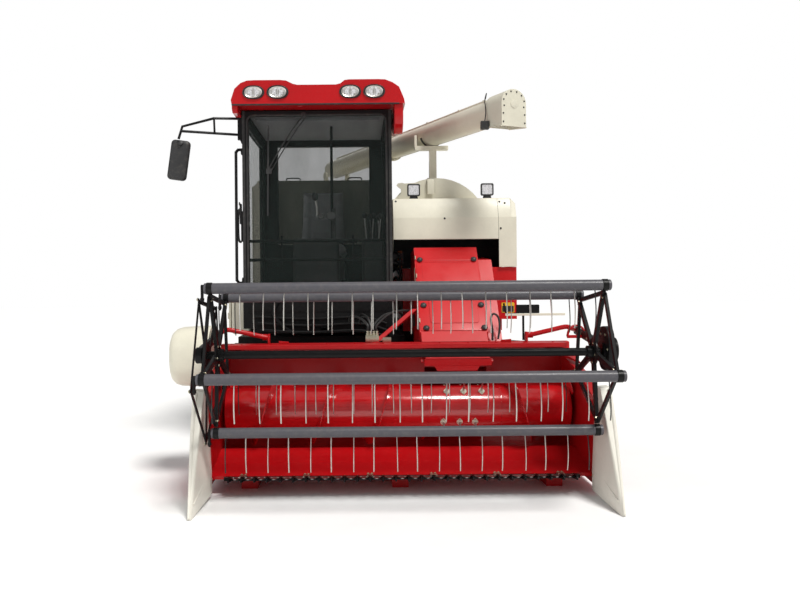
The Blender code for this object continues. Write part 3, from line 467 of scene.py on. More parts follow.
for number, angle in enumerate(BAT_ANGLES, 1):
    place = reel_point(angle, REEL_R, 0)
    y, z = place.y, place.z
    bar = Build()
    bar.lathe(
        [(0, 0.006), (0.001, BAT_R - 0.003), (0.004, BAT_R)] + [(BAT_X[1] - BAT_X[0] - 0.004, BAT_R), (BAT_X[1] - BAT_X[0] - 0.001, BAT_R - 0.003), (BAT_X[1] - BAT_X[0], 0.006)],
        (BAT_X[0], y, z), (BAT_X[1], y, z), 32,
    )
    bar.done(f"bat_tube_{number}", BAT, f"bat_{number}", [f"reel_bat_{number}"], slot=f"reel_bat_{number}")
    springs, ends, bolts, fittings = Build(), Build(), Build(), Build()
    pairs = 9
    for k in range(pairs):
        centre = BAT_X[0] + 0.135 + (BAT_X[1] - BAT_X[0] - 0.27) * k / (pairs - 1)
        for hand in (-1, 1):
            x = centre + hand * 0.0575
            outer = (k == 0 and hand < 0) or (k == pairs - 1 and hand > 0)
            spring_tine(ends if outer else springs, x, y, z, -hand, (0.02 * random.uniform(-1, 1)))
        # the loop between the two legs, and its bolt and clip on the bat
        loop = [(centre - 0.043, y + 0.0335, z - 0.004), (centre - 0.024, y + 0.0335, z + 0.008), (centre + 0.024, y + 0.0335, z + 0.008), (centre + 0.043, y + 0.0335, z - 0.004)]
        springs.sweep(curve(loop, 3), 0.0034, 5)
        bolts.bolt((centre, y + 0.0335, z + 0.008), (0, 1, 0), 0.006, 0.004)
        fittings.slab([(centre - 0.012, z - 0.002), (centre + 0.012, z - 0.002), (centre + 0.012, z + 0.018), (centre - 0.012, z + 0.018)], "y", y + 0.027, y + 0.0335, 0.001, 1)
    springs.done(f"tines_{number}", SPRING, f"bat_{number}")
    ends.done(f"end_tines_{number}", PLASTIC, f"bat_{number}")
    bolts.done(f"tine_bolts_{number}", ZINC, f"bat_{number}")
    # the crank to the second ring, with its pin, and the bearing sleeves
    crank = [(y - 0.016, z + 0.012), (y - 0.012, z - RING_DROP - 0.010), (y, z - RING_DROP - 0.018), (y + 0.012, z - RING_DROP - 0.010), (y + 0.016, z + 0.012), (y + 0.008, z + 0.022), (y - 0.008, z + 0.022)]
    fittings.slab(crank, "x", -0.874, -0.862, 0.0015)
    fittings.rod((-0.8785, y, z - RING_DROP), (-0.858, y, z - RING_DROP), 0.009, 12)
    for x in (-0.828, 1.345):
        fittings.lathe([(0, BAT_R + 0.001), (0.002, BAT_R + 0.0035), (0.030, BAT_R + 0.0035), (0.032, BAT_R + 0.001)], (x - 0.016, y, z), (x + 0.016, y, z), 24)
    fittings.done(f"bat_fittings_{number}", BLACK, f"bat_{number}")

# the two spiders: a hub plate, paired flat arms, and chords between the arms
spider = Build()
spider.lathe([(0, 0.010), (0.001, 0.0235), (2.281, 0.0235), (2.2825, 0.010)], (-0.900, REEL_Y, REEL_Z), (1.3825, REEL_Y, REEL_Z), 24)
spider_bolts = Build()
for x, toward in ((-0.828, -1), (1.345, 1)):
    spider.lathe([(0, 0.024), (0, 0.078), (0.002, 0.080), (0.008, 0.080), (0.010, 0.078), (0.010, 0.024)], (x - 0.005, REEL_Y, REEL_Z), (x + 0.005, REEL_Y, REEL_Z), 32)
    spider.lathe([(0, 0.024), (0, 0.036), (0.032, 0.036), (0.034, 0.024)], (x - toward * 0.038, REEL_Y, REEL_Z), (x - toward * 0.004, REEL_Y, REEL_Z), 24)
    for angle in BAT_ANGLES:
        a = math.radians(angle)
        out, side = V((0, -math.cos(a), math.sin(a))), V((0, math.sin(a), math.cos(a)))
        r0, r1 = 0.045, REEL_R - BAT_R - 0.006
        outline = []
        for r, w in ((r0, 0.020), (r1 - 0.03, 0.015), (r1, 0.012)):
            p = AXIS + out * r + side * w
            outline.append((p.y, p.z))
        for r, w in ((r1, 0.012), (r1 - 0.03, 0.015), (r0, 0.020)):
            p = AXIS + out * r - side * w
            outline.append((p.y, p.z))
        spider.slab(outline, "x", x - 0.010, x + 0.010, 0.002)
        # bolts where the fork holds the bat's bearing
        for s in (-1, 1):
            p = AXIS + out * (REEL_R - BAT_R - 0.040) + side * 0.012 * s
            spider_bolts.bolt((x - toward * 0.004, p.y, p.z), (-toward, 0, 0), 0.006, 0.005)
        p = AXIS + out * 0.060
        spider_bolts.bolt((x - toward * 0.005, p.y, p.z), (-toward, 0, 0), 0.007, 0.006)
        # chord to the next arm
        b = math.radians(angle + 72)
        out2 = V((0, -math.cos(b), math.sin(b)))
        q0, q1 = AXIS + out * (r1 - 0.010), AXIS + out2 * (r1 - 0.010)
        xc = x + toward * 0.006
        spider.slab([(q0.y + side.y * 0, q0.z), *[((q0 + (q1 - q0) * t + (q0 + q1 - AXIS * 2).normalized() * w).y, (q0 + (q1 - q0) * t + (q0 + q1 - AXIS * 2).normalized() * w).z) for t, w in ((0.02, 0.013), (0.98, 0.013))], (q1.y, q1.z), *[((q0 + (q1 - q0) * t + (q0 + q1 - AXIS * 2).normalized() * w).y, (q0 + (q1 - q0) * t + (q0 + q1 - AXIS * 2).normalized() * w).z) for t, w in ((0.98, -0.013), (0.02, -0.013))]], "x", xc - 0.008, xc + 0.008, 0.0015, 1)
spider.done("reel_spiders", BLACK, "reel_rotor", ["reel_spider"], slot="reel_spider")
spider_bolts.done("spider_bolts", ZINC, "reel_rotor")

ring = Build()
C = V((0, REEL_Y, REEL_Z - RING_DROP))
ring.lathe([(0, 0.101), (0, 0.124), (0.0015, 0.1255), (0.0065, 0.1255), (0.008, 0.124), (0.008, 0.101)], (-0.892, C.y, C.z), (-0.884, C.y, C.z), 40)
ring_bolts = Build()
for angle in BAT_ANGLES:
    a = math.radians(angle)
    out, side = V((0, -math.cos(a), math.sin(a))), V((0, math.sin(a), math.cos(a)))
    outline = []
    for r, w in ((0.115, 0.018), (REEL_R - 0.02, 0.013), (REEL_R + 0.004, 0.008)):
        p = C + out * r + side * w
        outline.append((p.y, p.z))
    for r, w in ((REEL_R + 0.004, 0.008), (REEL_R - 0.02, 0.013), (0.115, 0.018)):
        p = C + out * r - side * w
        outline.append((p.y, p.z))
    ring.slab(outline, "x", -0.8915, -0.8845, 0.001)
    b = math.radians(angle + 72)
    out2 = V((0, -math.cos(b), math.sin(b)))
    q0, q1 = C + out * (REEL_R - 0.012), C + out2 * (REEL_R - 0.012)
    n = (q0 + q1 - C * 2).normalized()
    n.x = 0
    outline = [(q0 + (q1 - q0) * t + n * w) for t, w in ((0.0, 0.0), (0.02, 0.012), (0.98, 0.012), (1.0, 0.0), (0.98, -0.012), (0.02, -0.012))]
    ring.slab([(p.y, p.z) for p in outline], "x", -0.8910, -0.8850, 0.0008, 1)
    pin = C + out * REEL_R
    ring_bolts.bolt((-0.8915, pin.y, pin.z), (-1, 0, 0), 0.008, 0.005)
    root = C + out * 0.114
    ring_bolts.bolt((-0.892, root.y, root.z), (-1, 0, 0), 0.007, 0.005)
ring.done("eccentric_ring", BLACK, "ring_body", ["reel_ring"], slot="reel_ring")
ring_bolts.done("ring_bolts", ZINC, "ring_body")

# reel arms: box-section beams with a bearing at the front and a red root
ARM_Y, ARM_Z = -1.175, 0.900
for side, x, outer_x in (("left", 1.16, 1.445), ("right", -0.64, -0.942)):
    s = 1 if side == "left" else -1
    red, black, bits = Build(), Build(), Build()
    root = curve([(x - s * 0.004, ARM_Y - 0.004, ARM_Z - 0.004), (x + s * 0.05, ARM_Y - 0.012, ARM_Z + 0.006), (x + s * 0.16, ARM_Y - 0.04, ARM_Z + 0.034), (outer_x - s * 0.03, ARM_Y - 0.07, ARM_Z + 0.058), (outer_x, ARM_Y - 0.12, ARM_Z + 0.05), (outer_x, ARM_Y - 0.25, ARM_Z + 0.048)], 6)
    red.sweep(root, 0.0165, 12)
    red.rod((x + s * 0.012, ARM_Y, ARM_Z), (x + s * 0.045, ARM_Y, ARM_Z), 0.0215, 20)
    black.slab([(ARM_Y - 0.20, ARM_Z + 0.072), (ARM_Y - 0.20, ARM_Z + 0.022), (REEL_Y + 0.10, REEL_Z - 0.012), (REEL_Y - 0.03, REEL_Z - 0.03), (REEL_Y - 0.045, REEL_Z), (REEL_Y - 0.03, REEL_Z + 0.03), (REEL_Y + 0.10, REEL_Z + 0.045)], "x", outer_x - 0.010, outer_x + 0.010, 0.003)
    if side == "left":
        hump = curve([(1.342, -1.56, 0.915), (1.352, -1.56, 0.955), (1.375, -1.56, 0.982), (1.405, -1.56, 0.988), (1.435, -1.56, 0.975), (1.452, -1.56, 0.945), (1.455, -1.56, 0.915)], 4)
        red.sweep(hump, 0.012, 4, flat=(0.006, 0.020))
        red.box(1.340, 1.460, -1.568, -1.552, 0.905, 0.925, 0.003)
    red.done(f"arm_root_{side}", RED_DEEP, "reel_arms", [f"reel_arm_{side}"], slot=f"reel_arm_{side}")
    if side == "right":
        black.lathe([(0, 0.012), (0, 0.040), (0.006, 0.047), (0.040, 0.047), (0.046, 0.040), (0.047, 0.026)], (-0.953, REEL_Y, REEL_Z), (-0.906, REEL_Y, REEL_Z), 28)
        for k in range(4):
            a = math.pi / 4 + k * math.pi / 2
            bits.bolt((-0.953, REEL_Y + 0.034 * math.cos(a), REEL_Z + 0.034 * math.sin(a)), (-1, 0, 0), 0.006, 0.005)
    else:
        # the drive motor and its guard at the hub
        hub_outline = []
        for k in range(28):
            t = 2 * math.pi * k / 28
            hub_outline.append((REEL_Y + 0.100 * math.copysign(abs(math.cos(t)) ** 0.7, math.cos(t)), REEL_Z + 0.020 + 0.128 * math.copysign(abs(math.sin(t)) ** 0.8, math.sin(t))))
        black.slab(hub_outline, "x", 1.402, 1.440, 0.008, 2)
        black.lathe([(0, 0.03), (0.001, 0.066), (0.010, 0.072), (0.030, 0.072), (0.031, 0.05)], (1.4395, REEL_Y, REEL_Z + 0.01), (1.471, REEL_Y, REEL_Z + 0.01), 28)
        black.lathe([(0, 0.03), (0, 0.052), (0.012, 0.052), (0.0145, 0.030)], (1.403, REEL_Y, REEL_Z), (1.3885, REEL_Y, REEL_Z), 28)
        for k in range(6):
            a = k * math.pi / 3
            bits.bolt((1.402, REEL_Y + 0.078 * math.cos(a), REEL_Z + 0.02 + 0.092 * math.sin(a)), (-1, 0, 0), 0.006, 0.004)
            bits.bolt((1.440, REEL_Y + 0.085 * math.cos(a), REEL_Z + 0.02 + 0.100 * math.sin(a)), (1, 0, 0), 0.006, 0.004)
    for t in (0.25, 0.5, 0.75):
        yy = ARM_Y - 0.22 + (REEL_Y + 0.12 - ARM_Y + 0.22) * t
        bits.bolt((outer_x - s * 0.010, yy, ARM_Z + 0.045 + (REEL_Z - ARM_Z - 0.03) * t), (-s, 0, 0), 0.008, 0.006)
    black.done(f"arm_beam_{side}", BLACK, "reel_arms")
    bits.done(f"arm_bolts_{side}", ZINC, "reel_arms")

# ------------------------------------------------------------ the header auger
AUGER_Y, AUGER_Z, TUBE_R, FLIGHT_R = -1.42, 0.44, 0.145, 0.236
lo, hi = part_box("header_auger")
AX0, AX1 = lo.x, hi.x
FEED_LO, FEED_HI = 0.44, 0.90
auger = Build()
auger.lathe([(0, 0.03), (0.001, TUBE_R - 0.002), (0.004, TUBE_R), (AX1 - AX0 - 0.044, TUBE_R), (AX1 - AX0 - 0.041, TUBE_R - 0.002), (AX1 - AX0 - 0.040, 0.03)], (AX0 + 0.02, AUGER_Y, AUGER_Z), (AX1, AUGER_Y, AUGER_Z), 56)
auger.rod((AX0, AUGER_Y, AUGER_Z), (AX1, AUGER_Y, AUGER_Z), 0.024, 20)


def flighting(build, x0, x1, pitch, phase, thick=0.004):
    turns = abs(x1 - x0) / abs(pitch)
    steps = int(turns * 48)
    rows = []
    for k in range(steps + 1):
        t = k / steps
        a = phase + 2 * math.pi * turns * t * (1 if pitch > 0 else -1)
        x = x0 + (x1 - x0) * t
        # the flight tapers in over its last twelfth of a turn
        edge = min(1.0, min(t, 1 - t) * turns * 12 + 0.25)
        outer = TUBE_R + (FLIGHT_R - TUBE_R) * edge
        d = V((0, math.cos(a), math.sin(a)))
        c = V((x, AUGER_Y, AUGER_Z))
        ring = []
        for r, h in ((TUBE_R - 0.003, -thick), (outer - 0.002, -thick * 0.6), (outer, -thick * 0.2), (outer, thick * 0.2), (outer - 0.002, thick * 0.6), (TUBE_R - 0.003, thick)):
            p = c + d * r
            p.x += h
            ring.append(build.bm.verts.new(p))
        rows.append(ring)
    for a, b in zip(rows, rows[1:]):
        for k in range(6):
            build.bm.faces.new((a[k], a[(k + 1) % 6], b[(k + 1) % 6], b[k]))
    build.bm.faces.new(rows[0][::-1])
    build.bm.faces.new(rows[-1])


flighting(auger, AX0 + 0.026, FEED_LO - 0.01, -0.38, 1.1)
flighting(auger, AX1 - 0.006, FEED_HI + 0.01, -0.38, 2.4)
# seam bands where the tube's sections join
for x in (-0.35, 0.10, 0.43, 0.91):
    auger.lathe([(0, TUBE_R - 0.002), (0.001, TUBE_R + 0.0022), (0.006, TUBE_R + 0.0022), (0.007, TUBE_R - 0.002)], (x, AUGER_Y, AUGER_Z), (x + 0.007, AUGER_Y, AUGER_Z), 56)
auger.done("auger_with_flights", RED_AUGER_PAINTED_HIGHLIGHT, "auger_body", ["header_auger"], slot="header_auger")

guides, fingers, guide_bolts = Build(), Build(), Build()
for row, angle in enumerate((126, 210, 285, 345, 55)):
    a = math.radians(angle)
    d = V((0, math.cos(a), math.sin(a)))
    t = V((0, -math.sin(a), math.cos(a)))
    for n in range(3):
        x = (0.5335, 0.640, 0.740)[n] if row % 2 else (0.562, 0.672, 0.790)[n]
        c = V((x, AUGER_Y, AUGER_Z)) + d * (TUBE_R - 0.0005)
        turn = Matrix(((1, 0, 0), (0, 1, 0), (0, 0, 1))).to_4x4()
        turn.col[0], turn.col[1], turn.col[2] = V((1, 0, 0, 0)), V((0, t.y, t.z, 0)), V((0, d.y, d.z, 0))
        place = Matrix.Translation(c) @ turn
        diamond = [(0, -0.032), (0.020, -0.006), (0.020, 0.006), (0, 0.032), (-0.020, 0.006), (-0.020, -0.006)]
        guides.slab(diamond, "z", 0.0, 0.006, 0.0015, at=place)
        guides.lathe([(0, 0.011), (0.009, 0.010), (0.011, 0.008)], c, c + d * 0.011, 16)
        for s in (-1, 1):
            guide_bolts.bolt(c + t * (s * 0.021) + d * 0.006, d, 0.004, 0.003)
        reach = max(0.012, min(0.085, 0.05 + 0.07 * -d.y))
        fingers.rod(c, c + d * reach, 0.007, 10, 0.0062)
        fingers.ball(c + d * reach, 0.0062, u=10, v=6)
guides.done("finger_guides", CREAM, "auger_body")
fingers.done("auger_fingers", STEEL, "auger_body")
guide_bolts.done("finger_guide_bolts", ZINC, "auger_body")

# -------------------------------------------------------------- the cutter bar
lo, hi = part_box("knife")
KX0, KX1, KY0, KY1, KZ0, KZ1 = lo.x, hi.x, lo.y, hi.y, lo.z, hi.z
clo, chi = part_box("cutter_bar")
guards, hold, gbolts = Build(), Build(), Build()
hilo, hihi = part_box("header_trough")
TEETH, PITCH = 28, 0.0762
mid = (clo.x + chi.x) / 2
knife = Build()
tooth_n = int((KX1 - KX0) / PITCH)
start = (KX0 + KX1) / 2 - tooth_n * PITCH / 2
zt = KZ1 - 0.0006
for k in range(tooth_n):
    x = start + PITCH * k
    outline = [(x + 0.0008, KY1 - 0.020), (x + 0.0008, KY0 + 0.052), (x + PITCH * 0.42, KY0 + 0.002), (x + PITCH * 0.58, KY0 + 0.002), (x + PITCH - 0.0008, KY0 + 0.052), (x + PITCH - 0.0008, KY1 - 0.020)]
    knife.slab(outline, "z", zt - 0.003, zt, 0.0)
    for bx in (x + PITCH * 0.27, x + PITCH * 0.73):
        knife.rod((bx, KY1 - 0.030, zt), (bx, KY1 - 0.030, zt + 0.002), 0.0045, 8, 0.003)
knife.done("knife_sections", SECTION, "knife_body", ["knife"], slot="knife")
bar = Build()
bar.box(KX0, KX1, KY1 - 0.024, KY1, KZ0, zt - 0.0031, 0.0012)
bar.done("knife_back", IRON, "knife_body")

# the guards: a cast finger under the knife, joined at its tip to a lip above it
GY_BACK, GY_ROOT, GY_TIP = chi.y, -1.935, clo.y
guards.box(clo.x, chi.x, GY_ROOT - 0.002, GY_BACK, clo.z, chi.z, 0.002)
for k in range(TEETH):
    x = mid + PITCH * (k + 0.5 - TEETH / 2)
    lower = [(GY_ROOT, 0.099), (GY_ROOT, 0.1165), (GY_TIP + 0.020, 0.1165), (GY_TIP + 0.0185, 0.1275), (GY_ROOT - 0.012, 0.1255), (GY_ROOT - 0.012, 0.129), (GY_TIP + 0.016, 0.1325), (GY_TIP + 0.004, 0.121), (GY_TIP, 0.113), (GY_TIP + 0.004, 0.108)]
    made = len(guards.bm.verts)
    guards.slab(lower, "x", x - 0.009, x + 0.009, 0.0015, 1)
    guards.bm.verts.ensure_lookup_table()
    for v in guards.bm.verts[made:]:
        f = max(0.0, min(1.0, (GY_ROOT - v.co.y) / (GY_ROOT - GY_TIP)))
        v.co.x = x + (v.co.x - x) * (1.35 - 1.0 * f)
    gbolts.bolt((x, GY_ROOT + 0.020, chi.z), (0, 0, 1), 0.0065, 0.005)
guards.done("guards", FRAME, "header", ["cutter_bar"], slot="cutter_bar")
gbolts.done("guard_bolts", BRASS, "header")
# hold-down clips over the knife back
for k in range(6):
    x = mid + PITCH * (k * 5 + 1.5 - TEETH / 2)
    if x > chi.x - 0.06:
        continue
    hold.slab([(GY_BACK - 0.004, 0.1145), (GY_BACK - 0.004, 0.1290), (GY_ROOT + 0.004, 0.1310), (GY_ROOT - 0.012, 0.1262), (GY_ROOT - 0.012, 0.1246), (GY_ROOT + 0.004, 0.1256), (GY_BACK - 0.014, 0.1256), (GY_BACK - 0.014, 0.1145)], "x", x - 0.020, x + 0.020, 0.0008, 1)
    for s in (-1, 1):
        hold.bolt((x + s * 0.011, GY_BACK - 0.012, 0.1275), (0, 0, 1), 0.005, 0.004)
hold.done("knife_clips", ZINC, "header")

# -------------------------------------------------- dividers and the drive cover
HX0, HX1, WALL_Y = -0.92, 1.40, -1.175
for name, x_in, x_out, s in (("left", HX1, 1.465, 1), ("right", HX0, -0.985, -1)):
    tip = x_out - s * 0.045
    foot = x_in - s * 0.025
    y = -1.9454
    wedge = Build()
    points = [
        (tip - 0.011, -2.36, 0.0), (tip + 0.011, -2.36, 0.0), (tip, -2.372, 0.012), (tip, -2.352, 0.034),
        (x_out, -2.04, 0.655), (x_in, -2.035, 0.650), (x_out, y, 0.655), (x_in, y, 0.65),
        (x_out, y, 0.03), (x_in, y, 0.19), (foot, y, 0.15), (foot, y, 0.03), (foot, -2.0, 0.03), (foot, -2.0, 0.15),
    ]
    made = [wedge.bm.verts.new(p) for p in points]
    bmesh.ops.convex_hull(wedge.bm, input=made)
    bmesh.ops.dissolve_limit(wedge.bm, angle_limit=math.radians(2), verts=wedge.bm.verts, edges=wedge.bm.edges)
    bmesh.ops.bevel(wedge.bm, geom=list(wedge.bm.edges), offset=0.004, segments=2, profile=0.6, affect="EDGES", clamp_overlap=True)
    wedge.done(f"divider_shell_{name}", CREAM_LIGHT, "header", [f"divider_{name}"], slot=f"divider_{name}", smooth=30)
    # the rolled nose strip along the front edge, and the guide rods inside
    nose, rods, rivets = Build(), Build(), Build()
    front = [V((tip, -2.368, 0.012)), V((tip + s * 0.012, -2.27, 0.20)), V((tip + s * 0.027, -2.13, 0.47)), V((x_out - s * 0.016, -2.043, 0.640))]
    nose.sweep(curve(front, 5), lambda t: 0.007 + 0.007 * t, 10)
    nose.done(f"divider_nose_{name}", CREAM_LIGHT, "header")
    inner = x_in - s * 0.006
    rods.sweep(curve([(tip - s * 0.014, -2.31, 0.070), (inner, -2.14, 0.13), (inner - s * 0.003, -2.05, 0.175), (inner - s * 0.002, -1.985, 0.24), (inner, -1.955, 0.36), (inner + s * 0.008, -1.951, 0.44)], 6), 0.0055, 8)
    rods.sweep([(inner - s * 0.003, -2.05, 0.178), (x_in + s * 0.012, -2.07, 0.245)], 0.0045, 8)
    rods.done(f"divider_rods_{name}", CREAM_LIGHT, "header")
    for z in (0.12, 0.30, 0.48, 0.60):
        rivets.bolt((x_out, y - 0.025, z), (s, 0, 0), 0.006, 0.0035)
        rivets.bolt((x_in if z > 0.2 else foot, y - 0.018, z), (-s, 0, 0), 0.005, 0.003)
    rivets.done(f"divider_bolts_{name}", ZINC, "header")

lo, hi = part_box("header_drive_cover")
cover = Build()
cy, cz = (lo.y + hi.y) / 2, (lo.z + hi.z) / 2
half_y, half_z = (hi.y - lo.y) / 2 - 0.001, (hi.z - lo.z) / 2 - 0.001
rings = []
for depth, inset in ((hi.x - 0.001, 0.000), (hi.x - 0.001, 0.0), (-1.02, 0.0), (-1.10, 0.002), (-1.17, 0.006), (-1.205, 0.016), (-1.228, 0.036), (-1.240, 0.064), (-1.2445, 0.110)):
    ring = []
    for k in range(48):
        t = 2 * math.pi * k / 48
        c, n = math.cos(t), math.sin(t)
        ring.append(cover.bm.verts.new((max(depth, lo.x + 0.0005), cy + (half_y - inset) * math.copysign(abs(c) ** 0.78, c), cz + (half_z - inset) * math.copysign(abs(n) ** 0.78, n))))
    rings.append(ring)
rings = rings[1:]
for a, b in zip(rings, rings[1:]):
    for k in range(48):
        cover.bm.faces.new((a[k], a[(k + 1) % 48], b[(k + 1) % 48], b[k]))
cover.bm.faces.new(rings[0][::-1])
cover.bm.faces.new(rings[-1])
cover.done("drive_cover_shell", CREAM, "header", ["header_drive_cover"], slot="header_drive_cover", smooth=40)
cover_bits = Build()
for k in range(6):
    t = 2 * math.pi * (k + 0.5) / 6
    cover_bits.bolt((-1.236, cy + 0.128 * math.cos(t), cz + 0.128 * math.sin(t)), (-1, 0, 0), 0.007, 0.0035)
cover_bits.lathe([(0, 0.010), (0, 0.030), (0.003, 0.030), (0.005, 0.024), (0.005, 0.010)], (-1.2405, cy, cz), (-1.2445, cy, cz), 24)
cover_bits.done("drive_cover_bolts", ZINC, "header")

# ------------------------------------------- the header's beam, braces and hoses
beam_bits, hyd, hoses = Build(), Build(), Build()
# rolled lip under the beam and stiffening bead along the trough's back
beam_bits.slab([(WALL_Y - 0.0302, 0.8545), (WALL_Y - 0.128, 0.8545), (WALL_Y - 0.1305, 0.852), (WALL_Y - 0.1305, 0.826), (WALL_Y - 0.1265, 0.826), (WALL_Y - 0.1265, 0.8505), (WALL_Y - 0.0302, 0.8505)], "x", HX0 - 0.005, HX1 + 0.005, 0.0)
for k in range(12):
    x = HX0 + 0.10 + 0.195 * k
    beam_bits.bolt((x, WALL_Y - 0.080, 0.8545), (0, 0, 1), 0.006, 0.003)
for x in (-0.80, -0.45, -0.10, 0.22, 1.02, 1.28):
    beam_bits.slab([(WALL_Y - 0.0305, 0.806), (WALL_Y - 0.034, 0.806), (WALL_Y - 0.034, 0.850), (WALL_Y - 0.0305, 0.850)], "x", x - 0.002, x + 0.002)
# a small plate on the beam at the foot of each brace to the reel arms' corners; the bent bars' run is worked out but
# not built
for s, x0, x1 in ((1, 1.00, 1.33), (-1, -0.52, -0.85)):
    run = curve([(x0, WALL_Y - 0.020, 0.866), (x0 + s * 0.07, WALL_Y - 0.020, 0.885), (x1 - s * 0.05, WALL_Y - 0.035, 0.935), (x1, WALL_Y - 0.05, 0.938)], 5)
    beam_bits.slab([(x0 - s * 0.02, 0.8558), (x0 + s * 0.05, 0.8558), (x0 + s * 0.05, 0.874), (x0 - s * 0.02, 0.868)] if s > 0 else [(x0 + 0.02, 0.8558), (x0 - 0.05, 0.8558), (x0 - 0.05, 0.874), (x0 + 0.02, 0.868)], "y", WALL_Y - 0.026, WALL_Y - 0.014, 0.001, 1)
# the lip plate over the feeder's mouth
beam_bits.slab([(0.432, 0.706), (0.890, 0.706), (0.890, 0.748), (0.880, 0.756), (0.442, 0.756), (0.432, 0.748)], "y", -1.334, -1.330, 0.0012, 1)
beam_bits.slab([(0.520, 0.672), (0.790, 0.672), (0.812, 0.706), (0.498, 0.706)], "y", -1.334, -1.330, 0.0)
beam_bits.slab([(-1.334, 0.752), (-1.334, 0.756), (-1.2805, 0.806), (-1.206, 0.812), (-1.206, 0.808), (-1.279, 0.802)], "x", 0.442, 0.880, 0.0)
beam_bits.done("beam_fittings", RED_DEEP, "header")
# hydraulic block, fittings and hoses on the beam behind the cab side
hyd.box(0.035, 0.13, WALL_Y + 0.005, WALL_Y + 0.06, 0.860, 0.905, 0.004)
for k in range(4):
    x = 0.05 + 0.022 * k
    hyd.lathe([(0, 0.008), (0, 0.011), (0.014, 0.011), (0.014, 0.008), (0.022, 0.008), (0.022, 0.010), (0.030, 0.010)], (x, WALL_Y + 0.03, 0.905), (x, WALL_Y + 0.03, 0.935), 8)
    hyd.rod((x, WALL_Y - 0.010, 0.885), (x, WALL_Y + 0.005, 0.885), 0.009, 6)
hyd.box(0.155, 0.215, WALL_Y + 0.010, WALL_Y + 0.05, 0.857, 0.890, 0.004)
hyd.rod((0.13, WALL_Y + 0.030, 0.873), (0.155, WALL_Y + 0.030, 0.873), 0.010, 10)
hyd.done("hydraulic_block", ZINC, "header")
for k, (x, dx) in enumerate(((0.05, -0.12), (0.072, -0.07), (0.094, 0.20), (0.116, 0.26))):
    hoses.sweep(curve([(x, WALL_Y + 0.03, 0.934), (x, WALL_Y + 0.035, 0.975), (x + dx * 0.4, WALL_Y + 0.10, 1.02 + 0.012 * k), (x + dx, WALL_Y + 0.24, 1.03 + 0.01 * k), (x + dx * 1.1, WALL_Y + 0.34, 0.98 - 0.01 * k)], 5), 0.0085, 8)
hoses.sweep(curve([(0.93, -1.13, 0.858), (0.935, -1.12, 0.93), (0.925, -1.11, 1.01), (0.945, -1.10, 1.045), (0.98, -1.10, 1.02), (0.985, -1.12, 0.95), (0.97, -1.14, 0.87)], 6), 0.0075, 8)
hoses.sweep(curve([(0.99, WALL_Y + 0.034, 0.86), (1.20, WALL_Y + 0.036, 0.845), (1.36, WALL_Y + 0.036, 0.835)], 5), 0.007, 8)
hoses.done("header_hoses", HOSE, "header")
# the reel-lift sight bar with its bracket, cream, on the viewer's right
sight = Build()
sight.box(1.03, 1.455, -1.104, -1.092, 1.030, 1.046, 0.003)
sight.done("sight_bar", CREAM, "header")
bracket = Build()
bracket.box(1.11, 1.275, -1.095, -1.070, 1.046, 1.108, 0.008)
bracket.sweep([(1.16, -1.085, 0.856), (1.16, -1.085, 1.05)], 0.008, 8)
bracket.sweep(curve([(1.13, -1.09, 1.05), (1.06, -1.09, 1.04), (1.03, -1.10, 1.065), (1.02, -1.10, 1.12)], 5), 0.007, 8)
bracket.done("sight_bracket", BLACK, "header")

# -------------------------------------------------------------------- the roof
RF = -0.868
roof = Build()
SHIFT = 0.018
outline = [(-0.962, 2.605), (-0.968, 2.640), (-0.941, 2.723), (-0.895, 2.766), (-0.848, 2.784), (-0.790, 2.7865), (-0.600, 2.7865), (-0.555, 2.782), (-0.505, 2.757), (-0.470, 2.749), (-0.185, 2.749), (-0.150, 2.757), (-0.118, 2.782), (-0.085, 2.7865), (0.130, 2.7865), (0.185, 2.784), (0.240, 2.762), (0.289, 2.728), (0.325, 2.640), (0.331, 2.605)]
centre = V((-0.318, 0, 2.70))
rows = []
for y, k, drop in ((RF + 0.060, 0.80, 0.0), (RF + 0.010, 0.94, 0.0), (RF, 0.965, 0.0), (RF + 0.004, 0.985, 0.0), (RF + 0.022, 0.998, 0.0), (RF + 0.060, 1.0, 0.0), (-0.40, 1.0, 0.0), (0.10, 1.0, 0.0), (0.330, 1.0, 0.0), (0.375, 0.995, 0.004), (0.396, 0.975, 0.012)):
    row = []
    for x, z in outline:
        xx = centre.x + SHIFT + (x - centre.x) * (1 - (1 - k) * 0.35)
        zz = 2.605 + (z - 2.605) * (1 - (1 - k) * 0.9) - drop * (z - 2.605) / 0.18
        row.append(roof.bm.verts.new((xx, y, zz)))
    # the underside returns inward
    row.append(roof.bm.verts.new((0.290, y, 2.6008)))
    row.append(roof.bm.verts.new((-0.920, y, 2.6008)))
    rows.append(row)
rows = rows[2:]
for a, b in zip(rows, rows[1:]):
    for k in range(len(a)):
        roof.bm.faces.new((a[k], a[(k + 1) % len(a)], b[(k + 1) % len(a)], b[k]))
roof.bm.faces.new(rows[0])
roof.bm.faces.new(rows[-1])
# the skirt down the inner side
roof.slab([(-0.850, 2.606), (-0.852, 2.52), (-0.835, 2.455), (-0.790, 2.415), (-0.730, 2.402), (-0.62, 2.415), (-0.45, 2.460), (-0.28, 2.520), (-0.12, 2.575), (0.05, 2.598), (0.392, 2.598), (0.392, 2.606)], "x", 0.2675, 0.3340, 0.014, 3)
roof.slab([(-0.850, 2.606), (-0.850, 2.575), (-0.820, 2.550), (-0.60, 2.548), (0.10, 2.572), (0.392, 2.585), (0.392, 2.606)], "x", -0.9430, -0.8985, 0.010, 3)
roof.done("roof_shell", RED_ROOF, "machine", ["cab_roof"], slot="cab_roof", smooth=32)

trim = Build()
trim.sweep([(-0.940, RF + 0.004, 2.603), (0.305, RF + 0.004, 2.603)], 0.007, 8)
trim.slab([(-0.41, 2.788 - 0.036), (-0.24, 2.788 - 0.036), (-0.25, 2.788 - 0.028), (-0.40, 2.788 - 0.028)], "y", -0.50, 0.20, 0.004, 2)
